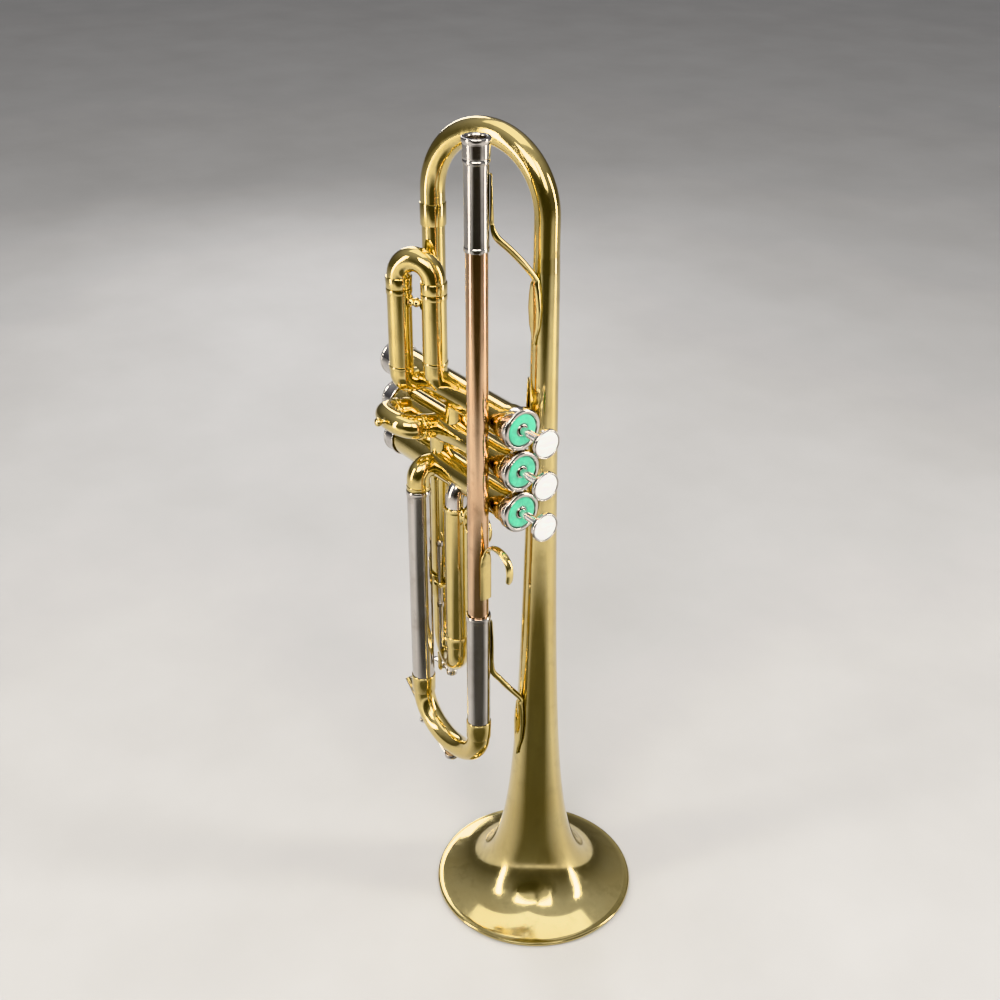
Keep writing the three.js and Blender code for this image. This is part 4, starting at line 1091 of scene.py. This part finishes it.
def build_water_key():
    low = box("main_slide_bow")[0]
    half = (MAIN_UP.x - MAIN_LOW.x) / 2
    drop = half * 0.93
    centre_x, centre_z = (MAIN_UP.x + MAIN_LOW.x) / 2, low.z + CROOK_R + drop
    y = MAIN_LOW.y

    def off(degrees, out):
        angle = math.radians(degrees)
        normal = Vector((-math.cos(angle) * drop, 0, -math.sin(angle) * half)).normalized()
        on = Vector((centre_x - half * math.cos(angle), y, centre_z - drop * math.sin(angle)))
        return on + normal * (CROOK_R + out), normal

    pivot = Vector(joint_of("water_key")["pos_m"]) / MM
    pivot.y = y
    _, normal = off(45, 0)
    base = off(45, 0.1)[0]
    along = Vector((normal.z, 0, -normal.x))
    cheeks = []
    for sign in (-1, 1):
        side = base + Vector((0, sign * 3.1, 0))
        path = [(side + normal * d, normal) for d in (-1.5, 0.4, 2.4, 4.2, 5.2, 5.9)]
        widths, depths = [3.4, 2.9, 2.4, 2.2, 1.7, 0.7], [0.7, 0.7, 0.65, 0.6, 0.6, 0.55]
        cheeks.append(ribbon(path, widths, depths, along, 2.4))
    path = [(base + normal * d, normal) for d in (-1.6, 0.3, 0.9)]
    plate = ribbon(path, [3.6, 3.5, 3.2], [3.6, 3.6, 3.4], along, 5)
    outline = [(0, -4.4), (1.1, -4.4), (1.1, -3.9), (0.8, -3.8), (0.8, 3.8), (1.1, 3.9), (1.1, 4.4), (0, 4.4)]
    pin = lathe(outline, 24, "Y", pivot, 0.1)
    saddle = joined(*cheeks, plate, pin)
    make("key_saddle", *saddle, "main_slide", "nickel_silver", "water_key_saddle", 50)

    cork_low, cork_high = box("water_key_cork")
    cup_x = (cork_low.x + cork_high.x) / 2
    cup_z = cork_low.z - 1.2
    marks = [off(6, 9.6)[0], off(16, 6.2)[0], off(30, 4.3)[0], pivot, off(60, 3.6)[0], off(75, 4.0)[0]]
    marks += [Vector((cup_x - 4, y, cup_z)), Vector((cup_x + 1, y, cup_z))]
    points = smooth_points(marks, 7)
    count = len(points)
    widths = []
    for i in range(count):
        t = i / (count - 1)
        widths.append(3.4 - 6.0 * min(t, 0.25) if t < 0.5 else 1.9 - 0.3 * (t - 0.5))
    lever = ribbon(with_directions(points), widths, [0.75] * count, Vector((0, 1, 0)), 2.8)
    eye = lathe([(0, -2.3), (2.1, -2.3), (2.1, 2.3), (0, 2.3)], 36, "Y", pivot, 0.25)
    outline = [
        (0, cup_z - 0.9), (2.0, cup_z - 0.9), (4.0, cup_z), (4.25, cup_z + 0.8), (4.25, cup_z + 2.8),
        (3.7, cup_z + 2.8), (3.7, cup_z + 1.1), (0, cup_z + 1.1),
    ]
    cup = lathe(outline, 48, "Z", (cup_x, y, 0), 0.2)
    make("key_lever", *joined(lever, eye, cup), "water_key", "nickel_silver", "water_key_lever", 50)
    r = (cork_high.x - cork_low.x) / 2 + 0.2
    outline = [(0, cork_low.z), (r, cork_low.z), (r, cork_high.z), (0, cork_high.z)]
    pad = lathe(outline, 40, "Z", (cup_x, y, 0), 0.3)
    make("key_cork", *pad, "water_key", "cork", "water_key_cork")


# ---------------------------------------------------------------- braces, saddle and hook


def s_brace(name, node, foot_r, foot_z, foot_angle, blade_z, blade_angle, middle):
    """One drawn piece: a foot on the tubes in line with the leadpipe, a round arm, and a leaf on the bell."""
    stations = []

    def surface(axis, radius, angle, z, lift):
        n = Vector((math.cos(angle), math.sin(angle), 0))
        return Vector((axis.x, axis.y, 0)) + n * (radius + lift) + Vector((0, 0, z)), n

    foot_top, foot_low = foot_z
    for t in (0, 0.04, 0.12, 0.3, 0.6, 0.85, 1.0):
        z = foot_top + (foot_low - foot_top) * t
        point, n = surface(LEADPIPE, foot_r, foot_angle, z, 0.75 + 0.5 * t)
        wide = 0.6 + 2.6 * math.sin(math.pi * min(1, 0.12 + t * 0.95)) ** 0.6
        stations.append((point, n, wide, 0.5 + 0.55 * t))
    for p, wide in middle:
        stations.append((Vector(p), None, wide, 1.75))
    blade_top, blade_low = blade_z
    for t in (0, 0.1, 0.25, 0.45, 0.7, 0.88, 0.97, 1.0):
        z = blade_top + (blade_low - blade_top) * t
        point, n = surface(BELL, bell_radius(z), blade_angle, z, 1.5 - 0.6 * t)
        tip = 1 if t < 0.7 else max(0.1, (1 - t) / 0.3) ** 0.5
        stations.append((point, n, (2.0 + 2.2 * math.sin(math.pi * min(1, t * 1.1))) * tip, 1.6 - 0.7 * t))
    steps = 5
    path = with_directions(smooth_points([s[0] for s in stations], steps))
    last = len(stations) - 1
    tangent_a = Vector((0, 0, 1)).cross(stations[0][1])
    tangent_b = Vector((0, 0, 1)).cross(stations[-1][1])
    if tangent_a.dot(tangent_b) < 0:
        tangent_b = -tangent_b
    across, wides, deeps = [], [], []
    for k in range(len(path)):
        i, t = min(k // steps, last), (k % steps) / steps
        j = min(i + 1, last)
        share = max(0.0, min(1.0, (k / (len(path) - 1) - 0.35) / 0.3))
        across.append((tangent_a * (1 - share) + tangent_b * share).normalized())
        wides.append(stations[i][2] * (1 - t) + stations[j][2] * t)
        deeps.append(stations[i][3] * (1 - t) + stations[j][3] * t)
    make(name, *ribbon(path, wides, deeps, across, 2.3, 32), BODY, "lacquered_brass", node, 60)


def build_braces():
    x = BELL.x
    low, high = box("upper_brace")
    top = high.z
    middle = [
        ((x - 3.2, -29.0, top - 31), 1.8), ((x - 0.9, -22.5, top - 38), 1.8),
        ((x + 1.2, -15.6, top - 46), 1.9),
    ]
    s_brace("brace_upper", "upper_brace", 6.2, (top, top - 25), 1.0, (407, low.z), -1.4, middle)
    low, high = box("lower_brace")
    middle = [((x - 6.0, -28.6, 170), 1.7), ((x - 4.9, -24.2, 163.5), 1.7), ((x - 3.4, -19.4, 156.5), 1.8)]
    s_brace("brace_lower", "lower_brace", TUBE_R, (high.z, 177), 1.2, (148, low.z), -1.58, middle)
    low, high = box("bell_saddle")
    valve = VALVES[0]
    angle = -2.5
    n = Vector((math.cos(angle), math.sin(angle), 0))
    across = Vector((0, 0, 1)).cross(n)
    path, wides, deeps = [], [], []
    for t in (0, 0.03, 0.1, 0.25, 0.5, 0.75, 0.9, 0.97, 1):
        z = low.z + (high.z - low.z) * t
        path.append((BELL + n * (bell_radius(z) + 0.5) + Vector((0, 0, z)), Vector((0, 0, 1))))
        wides.append(0.4 + 3.1 * math.sin(math.pi * min(0.97, max(0.03, t))) ** 0.5)
        deeps.append(0.75)
    pad = ribbon(path, wides, deeps, across, 2.4, 32)
    end = BELL + n * (bell_radius(valve.z) + 0.3) + Vector((0, 0, valve.z))
    start = Vector((end.x - 1, valve.y + CASING_R - 0.4, valve.z))
    along = (end - start).normalized()
    length = (end - start).length
    stations = [(0, 3.0), (0.5, 2.4), (1.2, 1.9), (length - 1.4, 1.9), (length - 0.6, 2.4), (length, 3.0)]
    post = turned_along(start, along, stations)
    make("saddle_post", *joined(pad, post), BODY, "lacquered_brass", "bell_saddle", 60)


def build_hook():
    low, high = box("finger_hook")
    y = LEADPIPE.y
    x = low.x + 0.8
    z0, z1 = low.z, high.z
    marks = [
        (x, z0), (x, z0 + 1.5), (x, z0 + 13), (x, z0 + 24), (x + 0.6, z0 + 29), (x + 2.6, z0 + 33.2),
        (x + 6, z0 + 35.8), (x + 11, z1 - 0.8), (x + 16.5, z0 + 35.4), (x + 20.2, z0 + 31.8),
        (x + 21.4, z0 + 27), (x + 21.0, z0 + 22.6), (x + 20.4, z0 + 20.4),
    ]
    points = smooth_points([(a, y, b) for a, b in marks], 7)
    path = with_directions(points)
    count = len(points)
    wides, deeps = [], []
    for k in range(count):
        t = k / (count - 1) * (len(marks) - 1)
        if t < 4:
            wide = 3.5 if 0.6 < t < 3.0 else 3.5 - 0.8 * abs(t - (0.6 if t < 1 else 3.0))
            wide = max(1.2, wide)
        else:
            wide = 2.2
        if t > len(marks) - 2:
            wide *= max(0.45, 1 - (t - (len(marks) - 2)) ** 2 * 0.6)
        wides.append(wide)
        deeps.append(0.75 if t < 3 else 0.9)
    strip = ribbon(path, wides, deeps, Vector((0, 1, 0)), 2.6, 32)
    make("hook", *strip, BODY, "lacquered_brass", "finger_hook", 60)


def build_springs():
    turns, wire, radius = 7, 0.5, 4.9
    for n in (1, 2, 3):
        low, high = box(f"valve_spring_{n}")
        valve = VALVES[n - 1]
        points = []
        for k in range(turns * 20 + 1):
            t = k / (turns * 20)
            angle = TAU * turns * t
            x = low.x + wire + (high.x - low.x - 1.0) * t
            points.append(Vector((x, valve.y + radius * math.cos(angle), valve.z + radius * math.sin(angle))))
        coil = sweep(with_directions(points), [wire] * len(points), None, 10)
        piece = make(f"spring_{n}", *coil, BODY, "valve_steel", f"valve_spring_{n}", 60)
        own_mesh(piece)


build_first_slide()
build_second_slide()
build_third_slide()
build_lyre()
build_water_key()
build_braces()
build_hook()
build_springs()

# ---------------------------------------------------------------- the same finishes on the CAD pieces
slots = {part["node"]: part["material_slot"] for part in frame["record"]["subparts"]}
for node_name, node_object in frame["nodes"].items():
    node_object.data.materials.clear()
    node_object.data.materials.append(FINISHES[slots[node_name]])

# ---------------------------------------------------------------- floor, light and camera

CAMERA_TURN = 52.84   # degrees round the instrument


def floor():
    material, nodes, links, shader = tree("floor")
    place = add(nodes, "ShaderNodeTexCoord").outputs["Object"]
    cloud = noise(nodes, links, place, 6, 4)
    colour = ramp(nodes, links, cloud, [(0.3, (0.42, 0.41, 0.40)), (0.7, (0.46, 0.45, 0.44))])
    links.new(colour, shader.inputs["Base Color"])
    put(shader, {"Roughness": 0.75})
    mesh = bpy.data.meshes.new("floor")
    size = 4
    corners = [(-size, -size, 0), (size, -size, 0), (size, size, 0), (-size, size, 0)]
    mesh.from_pydata(corners, [], [(0, 1, 2, 3)])
    mesh.materials.append(material)
    plane = bpy.data.objects.new("floor", mesh)
    plane.location.z = cad_low.z - 0.0002
    bpy.context.scene.collection.objects.link(plane)


def softbox(name, place, target, width, height, power, colour):
    light = bpy.data.lights.new(name, "AREA")
    light.shape = "RECTANGLE"
    light.size, light.size_y = width, height
    light.energy = power
    light.color = colour
    lamp = bpy.data.objects.new(name, light)
    lamp.location = place
    lamp.rotation_mode = "QUATERNION"
    lamp.rotation_quaternion = (Vector(target) - Vector(place)).to_track_quat("-Z", "Y")
    bpy.context.scene.collection.objects.link(lamp)


def studio():
    world = bpy.data.worlds.new("studio")
    bpy.context.scene.world = world
    world.use_nodes = True
    nodes, links = world.node_tree.nodes, world.node_tree.links
    background = nodes["Background"]
    place = add(nodes, "ShaderNodeTexCoord").outputs["Generated"]
    split = add(nodes, "ShaderNodeSeparateXYZ")
    links.new(place, split.inputs["Vector"])
    stops = [
        (0.0, (0.10, 0.10, 0.10)), (0.3, (0.10, 0.10, 0.11)),
        (0.6, (0.22, 0.22, 0.23)), (1.0, (0.45, 0.45, 0.45)),
    ]
    height = spread(nodes, links, split.outputs["Z"], 0, 1, -0.2, 1.0)
    links.new(ramp(nodes, links, height, stops), background.inputs["Color"])
    background.inputs["Strength"].default_value = 1.0
    middle = (0.0, 0.0, 0.22)
    softbox("key", (1.3, -0.3, 1.3), middle, 0.5, 0.9, 10, (1.0, 0.97, 0.92))
    softbox("front", (0.85, -1.15, 1.5), middle, 1.0, 0.7, 20, (1.0, 0.98, 0.94))
    softbox("left strip", (-0.35, -1.15, 0.5), middle, 0.18, 1.0, 9, (1.0, 0.96, 0.88))
    softbox("right strip", (0.75, 0.8, 0.5), middle, 0.14, 1.0, 8, (1.0, 0.97, 0.92))
    softbox("back strip", (-1.1, 0.5, 0.8), middle, 0.25, 0.9, 4, (0.98, 0.98, 1.0))
    softbox("top", (-0.4, 0.3, 2.4), (-0.4, 0.3, 0.0), 2.0, 2.0, 11, (1.0, 1.0, 1.0))
    flag("front flag", (0.40, -0.30), 1.1, 0.7)
    flag("low flag", (0.20, -0.15), 0.7, 0.5, True)


def flag(name, place, width, length, lying=False):
    """A dark card with soft edges, standing or lying. It shows only in reflections: it is hidden from the
    camera, from shadows and from diffuse light."""
    material, nodes, links, shader = tree("dark_card")
    coordinates = add(nodes, "ShaderNodeTexCoord").outputs["Generated"]
    tone = 0.03
    stops = [(0.3, (tone, tone, tone)), (0.7, (tone * 1.5, tone * 1.5, tone * 1.3))]
    links.new(ramp(nodes, links, noise(nodes, links, coordinates, 8), stops), shader.inputs["Base Color"])
    put(shader, {"Roughness": 0.9})
    centred = add(nodes, "ShaderNodeMapping", Location=(-1, -1, -1), Scale=(2, 2, 2))
    links.new(coordinates, centred.inputs["Vector"])
    flat = add(nodes, "ShaderNodeVectorMath", operation="MULTIPLY")
    flat.inputs[1].default_value = (1, 1, 0) if lying else (1, 0, 1)
    links.new(centred.outputs["Vector"], flat.inputs[0])
    reach = add(nodes, "ShaderNodeVectorMath", operation="LENGTH")
    links.new(flat.outputs["Vector"], reach.inputs[0])
    links.new(spread(nodes, links, reach.outputs["Value"], 0.97, 0, 0.5, 1.0), shader.inputs["Alpha"])
    w, h = width / 2, length / 2
    up = (0, 1, 0) if lying else (0, 0, 1)
    mesh = bpy.data.meshes.new(name)
    corners = ((-1, -1), (1, -1), (1, 1), (-1, 1))
    points = [(x * w, y * up[1] * h, (1 + y) * up[2] * h + 0.003) for x, y in corners]
    mesh.from_pydata(points, [], [(0, 1, 2, 3)])
    mesh.materials.append(material)
    card = bpy.data.objects.new(name, mesh)
    card.location = (place[0], place[1], cad_low.z)
    card.rotation_euler = (0, 0, math.radians(CAMERA_TURN))
    card.visible_camera = False
    card.visible_shadow = False
    card.visible_diffuse = False
    bpy.context.scene.collection.objects.link(card)


def camera():
    """The camera at the photograph's viewing angle."""
    turn, down, roll = math.radians(CAMERA_TURN), math.radians(29.18), math.radians(0.26)
    back = Vector((math.sin(turn) * math.cos(down), -math.cos(turn) * math.cos(down), math.sin(down)))
    right = Vector((math.cos(turn), math.sin(turn), 0))
    up = back.cross(right)
    tilted_right = right * math.cos(roll) + up * math.sin(roll)
    tilted_up = up * math.cos(roll) - right * math.sin(roll)
    lens = bpy.data.cameras.new("camera")
    lens.lens = 49.59
    lens.sensor_width = 36
    lens.clip_start = 0.05
    eye = bpy.data.objects.new("camera", lens)
    place = BELL * MM + Vector((0.51223, -0.4168, 0.64534))
    turn_to = Matrix((tilted_right, tilted_up, back)).transposed().to_4x4()
    eye.matrix_world = Matrix.Translation(place) @ turn_to
    bpy.context.scene.collection.objects.link(eye)
    bpy.context.scene.camera = eye
    bpy.context.scene.view_settings.view_transform = "Khronos PBR Neutral"
    bpy.context.scene.view_settings.exposure = 0.35


floor()
studio()
camera()
